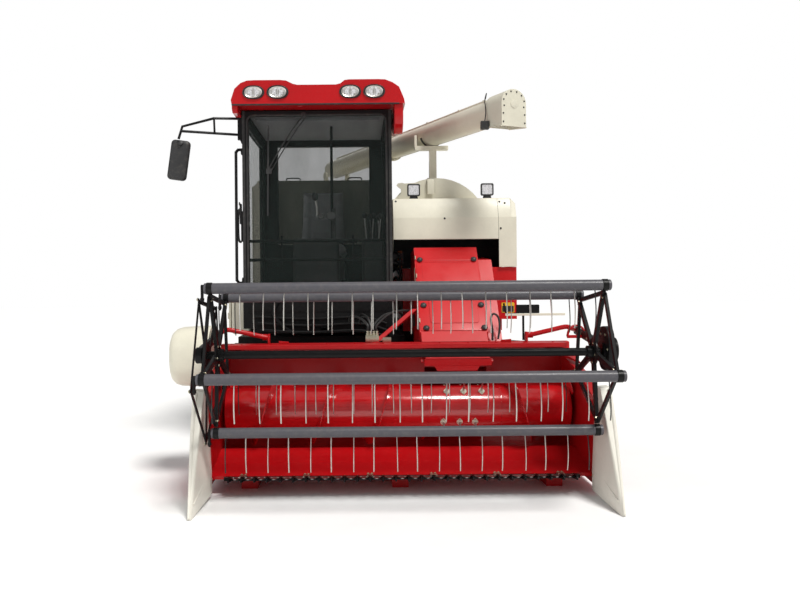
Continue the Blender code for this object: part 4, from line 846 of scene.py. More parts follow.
# dark pods behind the lamps
pods, bowls, glass, bulbs = Build(), Build(), Build(), Build()


def oval(build, x, z, y, profile, w, h, n=36):
    """A ring stack over an oval, (depth, scale) from front to back."""
    rows = []
    for depth, k in profile:
        rows.append([build.bm.verts.new((x + w * k * math.copysign(abs(math.cos(2 * math.pi * i / n)) ** 0.85, math.cos(2 * math.pi * i / n)), y + depth, z + h * k * math.sin(2 * math.pi * i / n))) for i in range(n)])
    for a, b in zip(rows, rows[1:]):
        for i in range(n):
            build.bm.faces.new((a[i], a[(i + 1) % n], b[(i + 1) % n], b[i]))
    build.bm.faces.new(rows[0])
    build.bm.faces.new(rows[-1])


for x in (-0.778, -0.598, -0.060, 0.118):
    oval(pods, x, 2.692, RF, [(0.004, 0.80), (-0.004, 0.86), (-0.010, 0.92), (-0.012, 0.98), (-0.008, 1.04), (0.010, 1.05)], 0.078, 0.049)
    oval(bowls, x, 2.692, RF - 0.0125, [(0.0105, 0.30), (0.009, 0.55), (0.004, 0.80), (0.0025, 0.84), (0.0055, 0.84), (0.012, 0.50)], 0.078, 0.049)
    for dx in (-0.026, 0.026):
        bulbs.lathe([(0, 0.004), (0.001, 0.015), (0.003, 0.017), (0.0045, 0.0175), (0.005, 0.010)], (x + dx, RF - 0.0085, 2.692), (x + dx, RF + 0.006, 2.692), 20)
        for dz in (-0.024, 0.024):
            bulbs.lathe([(0, 0.002), (0.001, 0.009), (0.003, 0.010), (0.004, 0.006)], (x + dx * 0.55, RF - 0.0090, 2.692 + dz), (x + dx * 0.55, RF + 0.006, 2.692 + dz), 14)
    for k in range(-4, 5):
        glass.slab([(x + k * 0.0125 - 0.0016, 2.692 - 0.030 * (1 - abs(k) * 0.12)), (x + k * 0.0125 + 0.0016, 2.692 - 0.030 * (1 - abs(k) * 0.12)), (x + k * 0.0125 + 0.0016, 2.692 + 0.030 * (1 - abs(k) * 0.12)), (x + k * 0.0125 - 0.0016, 2.692 + 0.030 * (1 - abs(k) * 0.12))], "y", RF - 0.0118, RF - 0.0105, 0.0)
pods.done("roof_lamp_bezels", PLASTIC, "machine")
bowls.done("roof_lamp_bowls", SPRING, "machine")
bulbs.done("roof_lamp_reflectors", LAMP, "machine")
glass.done("roof_lamp_ribs", LAMP, "machine")
ambers = Build()
for x, s in ((-0.938, -1), (0.340, 1)):
    ambers.lathe([(0, 0.012), (0.001, 0.026), (0.006, 0.026), (0.011, 0.020), (0.013, 0.006)], (x - s * 0.002, -0.70, 2.655), (x + s * 0.012, -0.70, 2.655), 20)
ambers.done("side_markers", AMBER, "machine")
trim.done("roof_trim", PLASTIC, "machine")

# -------------------------------------------------------- the windscreen's frame
seal = Build()
for x0, x1, z0, z1, y in ((-0.852, 0.211, 1.196, 2.559, -0.699),):
    loop = rounded_loop = []
    r = 0.05
    for cx, cz, start in ((x1 - r, z1 - r, 0), (x0 + r, z1 - r, 90), (x0 + r, z0 + r, 180), (x1 - r, z0 + r, 270)):
        for k in range(6):
            a = math.radians(start + 90 * k / 5)
            loop.append(V((cx + r * math.cos(a), y, cz + r * math.sin(a))))
    seal.sweep(loop, 0.009, 8, closed=True)
for x in (-0.880, 0.239):
    seal.slab([(x - 0.011, 1.17), (x + 0.011, 1.17), (x + 0.011, 2.595), (x - 0.011, 2.595)], "y", -0.7035, -0.6995, 0.002, 1)
seal.done("windscreen_seal", RUBBER, "machine")
wiper = Build()
wiper.lathe([(0, 0.010), (0.001, 0.020), (0.014, 0.020), (0.018, 0.012)], (-0.418, -0.695, 2.560), (-0.418, -0.715, 2.560), 16)
wiper.sweep(curve([(-0.418, -0.714, 2.560), (-0.50, -0.722, 2.45), (-0.62, -0.722, 2.26), (-0.690, -0.716, 2.14)], 5), 0.005, 6)
wiper.sweep(curve([(-0.395, -0.712, 2.552), (-0.475, -0.720, 2.44), (-0.60, -0.720, 2.245), (-0.672, -0.714, 2.125)], 5), 0.004, 6)
wiper.box(-0.708, -0.665, -0.718, -0.708, 2.110, 2.150, 0.003)
wiper.slab([(-0.700, 1.790), (-0.696, 1.790), (-0.686, 2.475), (-0.690, 2.475)], "y", -0.712, -0.7005, 0.0)
wiper.slab([(-0.704, 1.79), (-0.692, 1.79), (-0.682, 2.475), (-0.694, 2.475)], "y", -0.7155, -0.711, 0.001, 1)
wiper.done("wiper", PLASTIC, "machine")

# guard bars inside the lower windscreen, on their brackets
bars = Build()
for z in (1.455, 1.600):
    bars.sweep(curve([(-0.835, -0.655, z), (-0.80, -0.640, z), (0.14, -0.640, z), (0.20, -0.655, z)], 6), 0.012, 10)
for x in (-0.60, -0.05):
    bars.sweep([(x, -0.642, 1.42), (x, -0.642, 1.64)], 0.008, 8)
bars.done("windscreen_guard_bars", BLACK, "machine")

# ------------------------------------------------------------------ in the cab
# seat shell, hidden under padded cloth
seat_frame = Build()
seat_frame.slab([(-0.52, 1.30), (-0.12, 1.30), (-0.12, 1.42), (-0.16, 1.50), (-0.48, 1.50), (-0.52, 1.42)], "y", -0.17, 0.20, 0.02, 2)
seat_frame.slab([(-0.50, 1.1664), (-0.14, 1.1664), (-0.18, 1.30), (-0.46, 1.30)], "y", -0.10, 0.18, 0.01, 2)
seat_frame.slab([(-0.50, 1.52), (-0.14, 1.52), (-0.155, 2.02), (-0.20, 2.07), (-0.44, 2.07), (-0.485, 2.02)], "y", 0.235, 0.285, 0.02, 2)
for k in range(6):
    z = 1.19 + 0.018 * k
    seat_frame.box(-0.475, -0.165, -0.115, 0.195, z, z + 0.008, 0.003)
seat_frame.done("seat_frame", PLASTIC, "machine", ["seat"], slot="seat")


def pad(name, corners, depth, crown, grooves):
    """A crowned cushion over a four-sided outline, with sewn channels."""
    n, m = 30, 30
    build = Build()
    a, b, c, d = (V(p) for p in corners)
    normal = (b - a).cross(d - a).normalized()
    grid = []
    for side in (1, -1):
        rows = []
        for i in range(n + 1):
            row = []
            for j in range(m + 1):
                u, v = i / n, j / m
                # sides pull in between the corners
                pull = 0.020
                uu = 0.5 + (u - 0.5) * (1 - pull * 4 * v * (1 - v))
                vv = 0.5 + (v - 0.5) * (1 - pull * 4 * u * (1 - u))
                p = a.lerp(b, uu).lerp(d.lerp(c, uu), vv)
                edge = min(1.0, (1 - abs(2 * u - 1) ** 6) * (1 - abs(2 * v - 1) ** 6))
                h = depth * 0.5 * (0.15 + 0.85 * edge ** 0.5) + (crown * math.sin(math.pi * u) * math.sin(math.pi * v) if side > 0 else 0)
                if side > 0:
                    for g in grooves:
                        h -= 0.010 * math.exp(-((v - g) * 30) ** 2) * edge
                    h -= 0.010 * math.exp(-((u - 0.22) * 30) ** 2) * edge + 0.010 * math.exp(-((u - 0.78) * 30) ** 2) * edge
                row.append(build.bm.verts.new(p + normal * h * side))
            rows.append(row)
        for p, q in zip(rows, rows[1:]):
            for j in range(m):
                build.bm.faces.new((p[j], p[j + 1], q[j + 1], q[j]) if side < 0 else (p[j], q[j], q[j + 1], p[j + 1]))
        grid.append(rows)
    top, low = grid
    rim_top = [top[i][0] for i in range(n + 1)] + [top[n][j] for j in range(1, m + 1)] + [top[i][m] for i in range(n - 1, -1, -1)] + [top[0][j] for j in range(m - 1, 0, -1)]
    rim_low = [low[i][0] for i in range(n + 1)] + [low[n][j] for j in range(1, m + 1)] + [low[i][m] for i in range(n - 1, -1, -1)] + [low[0][j] for j in range(m - 1, 0, -1)]
    count = len(rim_top)
    for k in range(count):
        build.bm.faces.new((rim_top[k], rim_low[k], rim_low[(k + 1) % count], rim_top[(k + 1) % count]))
    piece = build.done(name, FABRIC, "machine", smooth=60)
    bpy.context.view_layer.objects.active = piece
    remesh = piece.modifiers.new("remesh", "REMESH")
    remesh.mode, remesh.voxel_size, remesh.use_smooth_shade = "VOXEL", 0.007, True
    bpy.ops.object.select_all(action="DESELECT")
    piece.select_set(True)
    bpy.ops.object.modifier_apply(modifier=remesh.name)
    before = [v.co.copy() for v in piece.data.vertices]
    cloth_mod = piece.modifiers.new("cloth", "CLOTH")
    cloth_mod.settings.use_pressure = True
    cloth_mod.settings.uniform_pressure_force = 4.0
    cloth_mod.settings.effector_weights.gravity = 0.0
    cloth_mod.settings.quality = 4
    cloth_mod.point_cache.frame_start, cloth_mod.point_cache.frame_end = 1, 14
    for f in range(1, 15):
        bpy.context.scene.frame_set(f)
    bpy.ops.object.modifier_apply(modifier=cloth_mod.name)
    bpy.context.scene.frame_set(1)
    for v, old in zip(piece.data.vertices, before):
        move = v.co - old
        if move.length > 0.008:
            v.co = old + move.normalized() * 0.008
    piece.data.shade_smooth()
    return piece


pad("seat_cushion", [(-0.535, -0.185, 1.545), (-0.105, -0.185, 1.545), (-0.105, 0.215, 1.530), (-0.535, 0.215, 1.530)], 0.10, 0.022, (0.25, 0.75))
pad("seat_back", [(-0.520, 0.205, 1.62), (-0.120, 0.205, 1.62), (-0.140, 0.225, 2.075), (-0.500, 0.225, 2.075)], 0.085, 0.018, (0.2, 0.5, 0.8))

# levers and dials on the side console, and the steering lever's head
levers, knobs, dials = Build(), Build(), Build()
for k, (x, y, lean) in enumerate(((0.06, -0.36, -0.02), (0.10, -0.30, 0.015), (0.155, -0.25, 0.02), (0.085, -0.18, 0.0), (0.15, -0.10, 0.01))):
    levers.sweep(curve([(x, y, 1.56), (x + lean * 0.4, y - 0.01, 1.68), (x + lean, y - 0.02, 1.80)], 5), 0.006, 8)
    knobs.ball((x + lean, y - 0.02, 1.815), 0.020, (1, 1, 1.25), 16, 10)
levers.sweep(curve([(-0.33, -0.52, 1.80), (-0.335, -0.53, 1.88), (-0.345, -0.535, 1.93)], 5), 0.009, 8)
knobs.ball((-0.348, -0.536, 1.952), 0.026, (1, 1, 1.3), 16, 10)
levers.done("lever_rods", STEEL, "machine")
knobs.done("lever_knobs", PLASTIC, "machine")
dials.lathe([(0, 0.010), (0, 0.036), (0.006, 0.038), (0.010, 0.034), (0.010, 0.004)], (-0.22, -0.60, 1.79), (-0.22, -0.62, 1.80), 24)
dials.lathe([(0, 0.010), (0, 0.026), (0.006, 0.028), (0.010, 0.024), (0.010, 0.004)], (-0.30, -0.60, 1.79), (-0.30, -0.62, 1.80), 24)
dials.done("dial_rims", PLASTIC, "machine")
pole = Build()
pole.sweep([(-0.224, -0.30, 1.64), (-0.224, -0.30, 2.44)], 0.012, 8)
pole.sweep([(-0.224, -0.30, 1.64), (-0.27, -0.30, 1.52)], 0.008, 8)
pole.sweep([(-0.224, -0.30, 1.64), (-0.18, -0.30, 1.52)], 0.008, 8)
pole.sweep([(-0.224, -0.30, 2.44), (-0.224, -0.26, 2.58)], 0.012, 8)
pole.done("cab_pole", BLACK, "machine")
# headlining, with a round bar along its front
lining = Build()
lining.box(-0.84, 0.20, -0.64, 0.34, 2.555, 2.590, 0.010)
lining.sweep(curve([(-0.80, -0.60, 2.55), (-0.30, -0.62, 2.545), (0.16, -0.60, 2.55)], 6), 0.016, 8)
lining.done("headlining", FABRIC, "machine")

# ---------------------------------------------------------- mirror, rail, door
lo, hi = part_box("mirror_head")
mirror = Build()
tilt = Matrix.Translation(((lo.x + hi.x) / 2, -0.712, (lo.z + hi.z) / 2)) @ Matrix.Rotation(math.radians(8), 4, "Y")
w, h = 0.073, 0.153
def rounded_xy(w, h, r, steps=5):
    out = []
    for cx, cy, start in ((w - r, h - r, 0), (-w + r, h - r, 90), (-w + r, -h + r, 180), (w - r, -h + r, 270)):
        for k in range(steps + 1):
            a = math.radians(start + 90 * k / steps)
            out.append((cx + r * math.cos(a), cy + r * math.sin(a)))
    return out
rows = []
for y, k in ((0.0205, 0.86), (0.0215, 0.90), (0.0215, 0.965), (0.016, 1.0), (0.000, 1.0), (-0.010, 0.96), (-0.018, 0.86), (-0.0215, 0.62)):
    rows.append([mirror.bm.verts.new(tilt @ V((u, y, v))) for u, v in rounded_xy(w * k, h * (1 - (1 - k) * 0.55), 0.030 * k)])
for a, b in zip(rows, rows[1:]):
    for k in range(len(a)):
        mirror.bm.faces.new((a[k], a[(k + 1) % len(a)], b[(k + 1) % len(a)], b[k]))
mirror.bm.faces.new(rows[0])
mirror.bm.faces.new(rows[-1])
mirror.lathe([(0, 0.008), (0, 0.020), (0.012, 0.020), (0.016, 0.012)], tilt @ V((0, -0.018, 0.125)), tilt @ V((0, -0.030, 0.130)), 16)
mirror.done("mirror_shell", PLASTIC, "machine", ["mirror_head"], slot="mirror_head", smooth=40)
face = Build()
face.slab(rounded_xy(w * 0.87, h * 0.93, 0.024), "y", 0.0195, 0.0212, 0.0, at=tilt)
face.done("mirror_face", GLASS_CLEAR, "machine")
grips = Build()
for z in (1.30, 2.28):
    grips.lathe([(0, 0.010), (0, 0.022), (0.005, 0.022), (0.008, 0.014)], (-0.8935, -0.69, z), (-0.905, -0.69, z), 16)
for z in (2.385, 2.55):
    grips.box(-0.905, -0.8935, -0.665, -0.615, z - 0.03, z + 0.012, 0.002)
    for dy in (-0.655, -0.625):
        grips.bolt((-0.905, dy, z - 0.010), (-1, 0, 0), 0.006, 0.004)
grips.done("rail_brackets", BLACK, "machine")
handle = Build()
handle.box(-0.936, -0.9235, -0.575, -0.515, 1.74, 1.90, 0.005, 2)
handle.sweep(curve([(-0.926, -0.54, 1.60), (-0.950, -0.54, 1.63), (-0.950, -0.54, 1.83), (-0.926, -0.54, 1.86)], 5), 0.010, 8)
handle.lathe([(0, 0.006), (0, 0.014), (0.006, 0.014), (0.008, 0.008)], (-0.936, -0.545, 1.90), (-0.945, -0.545, 1.90), 14)
handle.done("door_handle", PLASTIC, "door")
door_seal = Build()
loop = []
for cy, cz, start in ((0.285 - 0.05, 2.48 - 0.05, 0), (-0.555 + 0.05, 2.48 - 0.05, 90), (-0.555 + 0.05, 1.265 + 0.05, 180), (0.285 - 0.05, 1.265 + 0.05, 270)):
    for k in range(6):
        a = math.radians(start + 18 * k)
        loop.append(V((-0.8815, cy + 0.05 * math.cos(a), cz + 0.05 * math.sin(a))))
door_seal.sweep(loop, 0.007, 8, closed=True)
door_seal.done("door_seal", RUBBER, "door")

# ------------------------------------------------------------ the feeder's face


def placed(origin, xdir, ydir):
    x, y = V(xdir).normalized(), V(ydir).normalized()
    z = x.cross(y)
    turn = Matrix((x, y, z)).transposed().to_4x4()
    return Matrix.Translation(origin) @ turn


SLOPE = placed((0, -1.12, 0.92), (1, 0, 0), (0, 0.52, 0.62))  # local y runs up the face
LENGTH = math.hypot(0.52, 0.62)
lids, lid_knobs, seams = Build(), Build(), Build()


def rounded(x0, x1, y0, y1, r, steps=5):
    out = []
    for cx, cy, start in ((x1 - r, y1 - r, 0), (x0 + r, y1 - r, 90), (x0 + r, y0 + r, 180), (x1 - r, y0 + r, 270)):
        for k in range(steps + 1):
            a = math.radians(start + 90 * k / steps)
            out.append((cx + r * math.cos(a), cy + r * math.sin(a)))
    return out


lids.slab(rounded(0.428, 0.893, 0.012, 0.385, 0.006), "z", 0.0006, 0.0045, 0.0015, 2, at=SLOPE)
lids.slab(rounded(0.428, 0.893, 0.410, 0.800, 0.006), "z", 0.0006, 0.0045, 0.0015, 2, at=SLOPE)
# pressed beads: a raised frame on the lower lid, and folds on the upper one
lids.slab(rounded(0.500, 0.850, 0.075, 0.300, 0.022), "z", 0.0045, 0.0085, 0.0030, 3, at=SLOPE)
lids.slab(rounded(0.520, 0.830, 0.095, 0.280, 0.016), "z", 0.0084, 0.0088, 0.0)
lids_frame = [(0.470, 0.655), (0.470, 0.420), (0.4735, 0.420), (0.4735, 0.6515), (0.880, 0.6515), (0.880, 0.655)]
lids.slab(lids_frame, "z", 0.0045, 0.0062, 0.0006, 1, at=SLOPE)
lids.slab([(0.428, 0.668), (0.893, 0.668), (0.893, 0.690), (0.428, 0.690)], "z", 0.0045, 0.0068, 0.002, 2, at=SLOPE)
lids.bm.verts.ensure_lookup_table()
lids.done("feeder_lids", RED, "header")
for x, t in ((0.458, 0.675), (0.870, 0.675), (0.460, 0.235), (0.878, 0.235), (0.468, 0.030), (0.880, 0.030)):
    c = SLOPE @ V((x, t, 0.0045 if t < 0.6 else 0.0068))
    n = (SLOPE.to_3x3() @ V((0, 0, 1))).normalized()
    lid_knobs.lathe([(0, 0.010), (0.002, 0.019), (0.006, 0.021), (0.011, 0.0205), (0.016, 0.016), (0.019, 0.009), (0.0195, 0.002)], c, c + n * 0.02, 24)
    for k in range(8):
        a = k * math.pi / 4
        d = SLOPE.to_3x3() @ V((math.cos(a), math.sin(a), 0))
        lid_knobs.ball(c + d * 0.0195 + n * 0.007, 0.0045, u=8, v=6)
lid_knobs.done("lid_knobs", PLASTIC, "header")
# hinge knuckles, a latch wire on the left edge and rivets on the drive cover
for t in (0.10, 0.33, 0.52, 0.70):
    a = SLOPE @ V((0.424, t - 0.018, 0.004))
    b = SLOPE @ V((0.424, t + 0.018, 0.004))
    seams.rod(a, b, 0.0055, 10)
seams.sweep(curve([SLOPE @ V(p) for p in ((0.418, 0.40, 0.004), (0.412, 0.46, 0.010), (0.412, 0.56, 0.010), (0.418, 0.60, 0.004))], 5), 0.003, 6)
lo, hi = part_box("feeder_drive_cover")
for y, z in ((-0.62, 1.40), (-0.80, 1.16), (-0.97, 0.95), (-0.72, 0.86)):
    seams.bolt((hi.x, y, z), (1, 0, 0), 0.007, 0.004)
seams.done("feeder_fittings", ZINC, "header")
lo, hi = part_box("feeder_drive_cover")
label = Build()
label.slab(rounded(1.098, 1.197, 1.030, 1.108, 0.006), "y", -0.6022, -0.6004, 0.0004, 1)
label.done("blank_label", LABEL, "machine")
label2 = Build()
label2.slab(rounded(1.103, 1.192, 1.035, 1.082, 0.003), "y", -0.6027, -0.6023, 0.0, 1)
label2.done("blank_label_field", PLASTIC, "machine")

# -------------------------------------------------------------- the front hood
hood, hood_bits = Build(), Build()
HY = -0.6195
profile = [(HY + 0.002, 1.603), (HY, 1.606), (HY, 1.768), (HY + 0.001, 1.774), (-0.556, 1.922), (-0.552, 1.9265), (-0.1204, 1.9265), (-0.1204, 1.9235), (-0.553, 1.9235), (HY + 0.004, 1.772), (HY + 0.004, 1.603)]
hood.slab(profile, "x", 0.263, 1.0765, 0.0)
hood.slab([(HY + 0.0005, 1.603), (HY + 0.0005, 1.768), (HY + 0.0015, 1.774), (-0.556, 1.9215), (-0.552, 1.926), (-0.1204, 1.926), (-0.1204, 1.9225), (-0.553, 1.9225), (HY + 0.004, 1.772), (HY + 0.004, 1.603)], "x", 1.079, 1.178, 0.0)
# the side leg, and the shoulder chamfered at its top corner
hood.slab([(1.0795, 1.386), (1.2165, 1.386), (1.2165, 1.7735), (1.0795, 1.7735)], "y", HY + 0.001, HY + 0.005, 0.001, 1)
side_rows = []
for y_front, z in ((HY + 0.004, 1.387), (HY + 0.004, 1.772), (-0.573, 1.880), (-0.556, 1.924)):
    x = 1.2165 if z < 1.9 else 1.180
    side_rows.append([hood.bm.verts.new((x, y_front, z)), hood.bm.verts.new((x, -0.1204, z)), hood.bm.verts.new((x - 0.004, -0.1204, z)), hood.bm.verts.new((x - 0.004, y_front, z))])
for a, b in zip(side_rows, side_rows[1:]):
    for k in range(4):
        hood.bm.faces.new((a[k], a[(k + 1) % 4], b[(k + 1) % 4], b[k]))
hood.bm.faces.new(side_rows[0])
hood.bm.faces.new(side_rows[-1])
front = [hood.bm.verts.new(p) for p in ((1.178, HY + 0.001, 1.772), (1.2165, HY + 0.004, 1.772), (1.2165, -0.573, 1.880), (1.180, -0.556, 1.924))]
hood.bm.faces.new(front)
hood.slab([(0.2630, 1.702), (0.2670, 1.702), (0.2670, 1.922), (0.2630, 1.922)], "y", -0.552, -0.1204, 0.0)
hood.done("hood_panels", CREAM, "machine", ["front_hood"], slot="front_hood", smooth=25)
for x, z in ((1.094, 1.895), (1.094, 1.685), (1.135, 1.885), (0.285, 1.905), (0.66, 1.765)):
    yy = HY if z < 1.77 else HY + (z - 1.774) * 0.44
    hood_bits.bolt((x, yy, z), (0, -1, 0.4 if z > 1.77 else 0), 0.006, 0.003)
hood_bits.done("hood_bolts", IRON, "machine")

# square work lamps on the hood
lamp_case, lamp_glass, lamp_bowl = Build(), Build(), Build()
for x in (0.428, 1.005):
    yl, z0 = -0.545, 1.940
    outer = rounded(x - 0.050, x + 0.050, z0 + 0.008, z0 + 0.104, 0.012)
    inner = rounded(x - 0.040, x + 0.040, z0 + 0.018, z0 + 0.094, 0.008)
    for ya, yb, loop_a, loop_b in ((yl, yl + 0.004, outer, outer),):
        ring_rows = []
        for yy, loop in ((yl + 0.004, inner), (yl, inner), (yl - 0.002, [((a[0] + b[0]) / 2, (a[1] + b[1]) / 2) for a, b in zip(inner, outer)]), (yl, outer), (yl + 0.022, outer), (yl + 0.048, [(x + (u - x) * 0.72, z0 + 0.056 + (w - z0 - 0.056) * 0.72) for u, w in outer])):
            ring_rows.append([lamp_case.bm.verts.new((u, yy, w)) for u, w in loop])
        for a, b in zip(ring_rows, ring_rows[1:]):
            for k in range(len(a)):
                lamp_case.bm.faces.new((a[k], a[(k + 1) % len(a)], b[(k + 1) % len(a)], b[k]))
        lamp_case.bm.faces.new(ring_rows[-1])
    lamp_glass.slab(inner, "y", yl + 0.003, yl + 0.006, 0.0)
    for k in range(-2, 3):
        lamp_glass.slab([(x + k * 0.014 - 0.002, z0 + 0.020), (x + k * 0.014 + 0.002, z0 + 0.020), (x + k * 0.014 + 0.002, z0 + 0.092), (x + k * 0.014 - 0.002, z0 + 0.092)], "y", yl + 0.0015, yl + 0.0032, 0.0)
    lamp_case.slab([(x - 0.034, z0 - 0.012), (x + 0.034, z0 - 0.012), (x + 0.028, z0 + 0.012), (x - 0.028, z0 + 0.012)], "y", yl + 0.010, yl + 0.016, 0.001, 1)
    lamp_case.box(x - 0.018, x + 0.018, yl + 0.004, yl + 0.030, z0 - 0.014, z0 + 0.006, 0.003)
lamp_case.done("work_lamp_cases", PLASTIC, "machine")
lamp_glass.done("work_lamp_lenses", LAMP, "machine")

# -------------------------------------- drum cover: seam bands and a side plate
drum, drum_bits = Build(), Build()
plate_outline = [(0.285, 1.929), (0.285, 2.045), (0.302, 2.062), (0.345, 2.062), (0.345, 2.030), (0.372, 2.030), (0.372, 2.062), (0.43, 2.066), (0.52, 2.09), (0.52, 1.929)]
drum.slab([(0.315, 1.929), (0.315, 1.965), (0.335, 1.985), (0.335, 2.020), (0.315, 2.035), (0.300, 2.050), (0.312, 2.068), (0.345, 2.072), (0.365, 2.066), (0.44, 2.070), (0.50, 2.078), (0.50, 1.929)], "y", -0.4005, -0.3965, 0.0008, 1)
for y in (-0.05, 0.40, 0.85, 1.28):
    points = []
    for k in range(25):
        a = math.radians(35 + 110 * k / 24)
        points.append(V((0.62 + 0.4215 * math.cos(a), y, 1.69 + 0.4215 * math.sin(a))))
    drum.sweep(points, 0.01, 4, flat=(0.003, 0.014))
# the foot of the tube's post, in front of the cover
drum.box(0.548, 0.602, -0.408, -0.402, 1.978, 2.108, 0.002)
drum.box(0.548, 0.602, -0.408, -0.380, 2.100, 2.1085, 0.002)
drum.done("drum_cover_bands", CREAM, "machine")
for y in (-0.05, 0.40, 0.85, 1.28):
    for a in (42, 138):
        r = math.radians(a)
        n = V((math.cos(r), 0, math.sin(r)))
        drum_bits.bolt(V((0.62, y, 1.69)) + n * 0.4235, n, 0.007, 0.004)
drum_bits.done("drum_cover_bolts", ZINC, "machine")
# a black panel on the thresher's front behind the feeder: painted shade for the deep recess under the hood
painted_shade_panel = Build()
painted_shade_panel.slab([(0.285, 1.388), (1.19, 1.388), (1.19, 1.915), (0.285, 1.915)], "y", -0.1260, -0.1212, 0.001, 1)
for z in (1.45, 1.55):
    painted_shade_panel.slab([(0.30, z), (1.18, z), (1.18, z + 0.018), (0.30, z + 0.018)], "y", -0.1300, -0.1262, 0.0012, 1)
painted_shade_panel.slab([(1.045, 0.985), (1.20, 0.985), (1.20, 1.3835), (1.045, 1.3835)], "y", -0.1260, -0.1212, 0.001, 1)
painted_shade_panel.done("front_painted_shade_panel", FRAME, "machine")
# dark pipework and fittings in the mouth under the hood
mouth, mouth_bits = Build(), Build()
for k in range(4):
    z = 1.50 - 0.07 * k
    mouth.sweep(curve([(0.275, -0.16 - 0.02 * k, z), (0.30, -0.30, z + 0.02), (0.33, -0.36 + 0.02 * k, z - 0.05), (0.32, -0.30, z - 0.16)], 5), 0.010, 8)
mouth.box(0.27, 0.36, -0.26, -0.16, 1.42, 1.52, 0.008)
mouth.done("mouth_hoses", HOSE, "machine")
for z in (1.40, 1.46, 1.52):
    mouth_bits.rod((0.31, -0.30, z), (0.345, -0.30, z), 0.011, 6)
mouth_bits.done("mouth_fittings", BRASS, "machine")
# the feeder's top plate goes on down to the header beam in the slope of its lids
skirt = Build()
skirt.slab([(-1.180, 0.858), (-1.175, 0.858), (-1.1195, 0.925), (-1.1245, 0.925)], "x", 0.428, 0.893, 0.001, 1)
skirt.done("feeder_skirt", RED, "header")

# ------------------------------------------------------------- unloading tube
ROOT = V((-0.25, 1.90, 2.53))
DIR = V((1.173, -2.56, 0)).normalized()
ACROSS = V((-DIR.y, DIR.x, 0))  # to the viewer's right
TUBE_R2 = 0.097


def tube_at(t, v=0.0, z=0.0):
    return ROOT + DIR * t + ACROSS * v + V((0, 0, z))


tube = Build()
tube.lathe([(0, 0.02), (0.002, 0.080), (0.010, 0.092), (0.030, TUBE_R2), (1.49, TUBE_R2), (1.491, TUBE_R2 + 0.018), (1.4985, TUBE_R2 + 0.0195), (1.4995, TUBE_R2 + 0.012), (1.5015, TUBE_R2 + 0.012), (1.5025, TUBE_R2 + 0.0195), (1.510, TUBE_R2 + 0.018), (1.511, TUBE_R2), (3.19, TUBE_R2), (3.191, 0.06)], tube_at(-0.13), tube_at(3.0), 56)
# welded seam along the underside, straps for the conduit
tube.sweep([tube_at(-0.05, 0.02, -TUBE_R2 + 0.001), tube_at(3.04, 0.02, -TUBE_R2 + 0.001)], 0.003, 6)
tube.done("tube_skin", CREAM, "boom", ["unload_tube"], slot="unload_tube", smooth=40)
tube_bolts, conduit = Build(), Build()
for k in range(10):
    a = 2 * math.pi * (k + 0.5) / 10
    d = ACROSS * math.cos(a) + V((0, 0, math.sin(a)))
    c = tube_at(1.36) + d * (TUBE_R2 + 0.0105)
    tube_bolts.bolt(c - DIR * 0.0005, -DIR, 0.006, 0.005)
    tube_bolts.bolt(tube_at(1.381) + d * (TUBE_R2 + 0.0105), DIR, 0.006, 0.005)
run = [tube_at(0.10, -0.035, 0.096), tube_at(1.30, -0.035, 0.096), tube_at(1.37, -0.037, 0.118), tube_at(1.44, -0.035, 0.096), tube_at(2.80, -0.035, 0.096), tube_at(3.00, -0.060, 0.085)]
conduit.sweep(curve(run, 8), 0.0075, 8)
for t in (0.3, 0.9, 1.6, 2.1, 2.6, 2.95):
    conduit.slab([(-0.012, 0.0), (0.012, 0.0), (0.012, 0.010), (-0.012, 0.010)], "x", -0.01, 0.01, 0.002, 1, at=placed(tube_at(t, -0.035, 0.094), DIR, ACROSS))
conduit.done("tube_conduit", CREAM, "boom")
tube_bolts.done("tube_bolts", ZINC, "boom")

# the spout: a round-topped box with a bolted end cap and an open mouth below
spout, spout_bolts, spout_dark = Build(), Build(), Build()
SPOUT = placed(tube_at(0), DIR, ACROSS)  # local x along the tube, y across, z up


def round_top(half, low, top, steps=14):
    out = [(-half, low)]
    r = half
    for k in range(steps + 1):
        a = math.pi - math.pi * k / steps
        out.append((r * math.cos(a), top - r * 0.92 + r * 0.92 * math.sin(a)))
    out.append((half, low))
    return out


def shell(build, u0, u1, half, lows, top, wall):
    """A thin-walled hood between two stations along the tube."""
    sections = []
    for u, low in ((u0, lows[0]), (u1, lows[1])):
        outer = [build.bm.verts.new(SPOUT @ V((u, y, z))) for y, z in round_top(half, low, top)]
        inner = [build.bm.verts.new(SPOUT @ V((u, y, z))) for y, z in round_top(half - wall, low, top - wall)]
        sections.append((outer, inner))
    (o0, i0), (o1, i1) = sections
    n = len(o0)
    for k in range(n - 1):
        build.bm.faces.new((o0[k], o0[k + 1], o1[k + 1], o1[k]))
        build.bm.faces.new((i0[k], i1[k], i1[k + 1], i0[k + 1]))
        build.bm.faces.new((o0[k], i0[k], i0[k + 1], o0[k + 1]))
        build.bm.faces.new((o1[k], o1[k + 1], i1[k + 1], i1[k]))
    for k in (0, n - 1):
        build.bm.faces.new((o0[k], o1[k], i1[k], i0[k]))


shell(spout, 3.060, 3.262, 0.104, (-0.125, -0.150), 0.118, 0.004)
end = round_top(0.106, -0.150, 0.119)
spout.slab(end, "x", 3.2623, 3.2685, 0.0012, 1, at=SPOUT)
spout.slab(round_top(0.104, -0.125, 0.118), "x", 3.057, 3.0598, 0.0, 1, at=SPOUT)
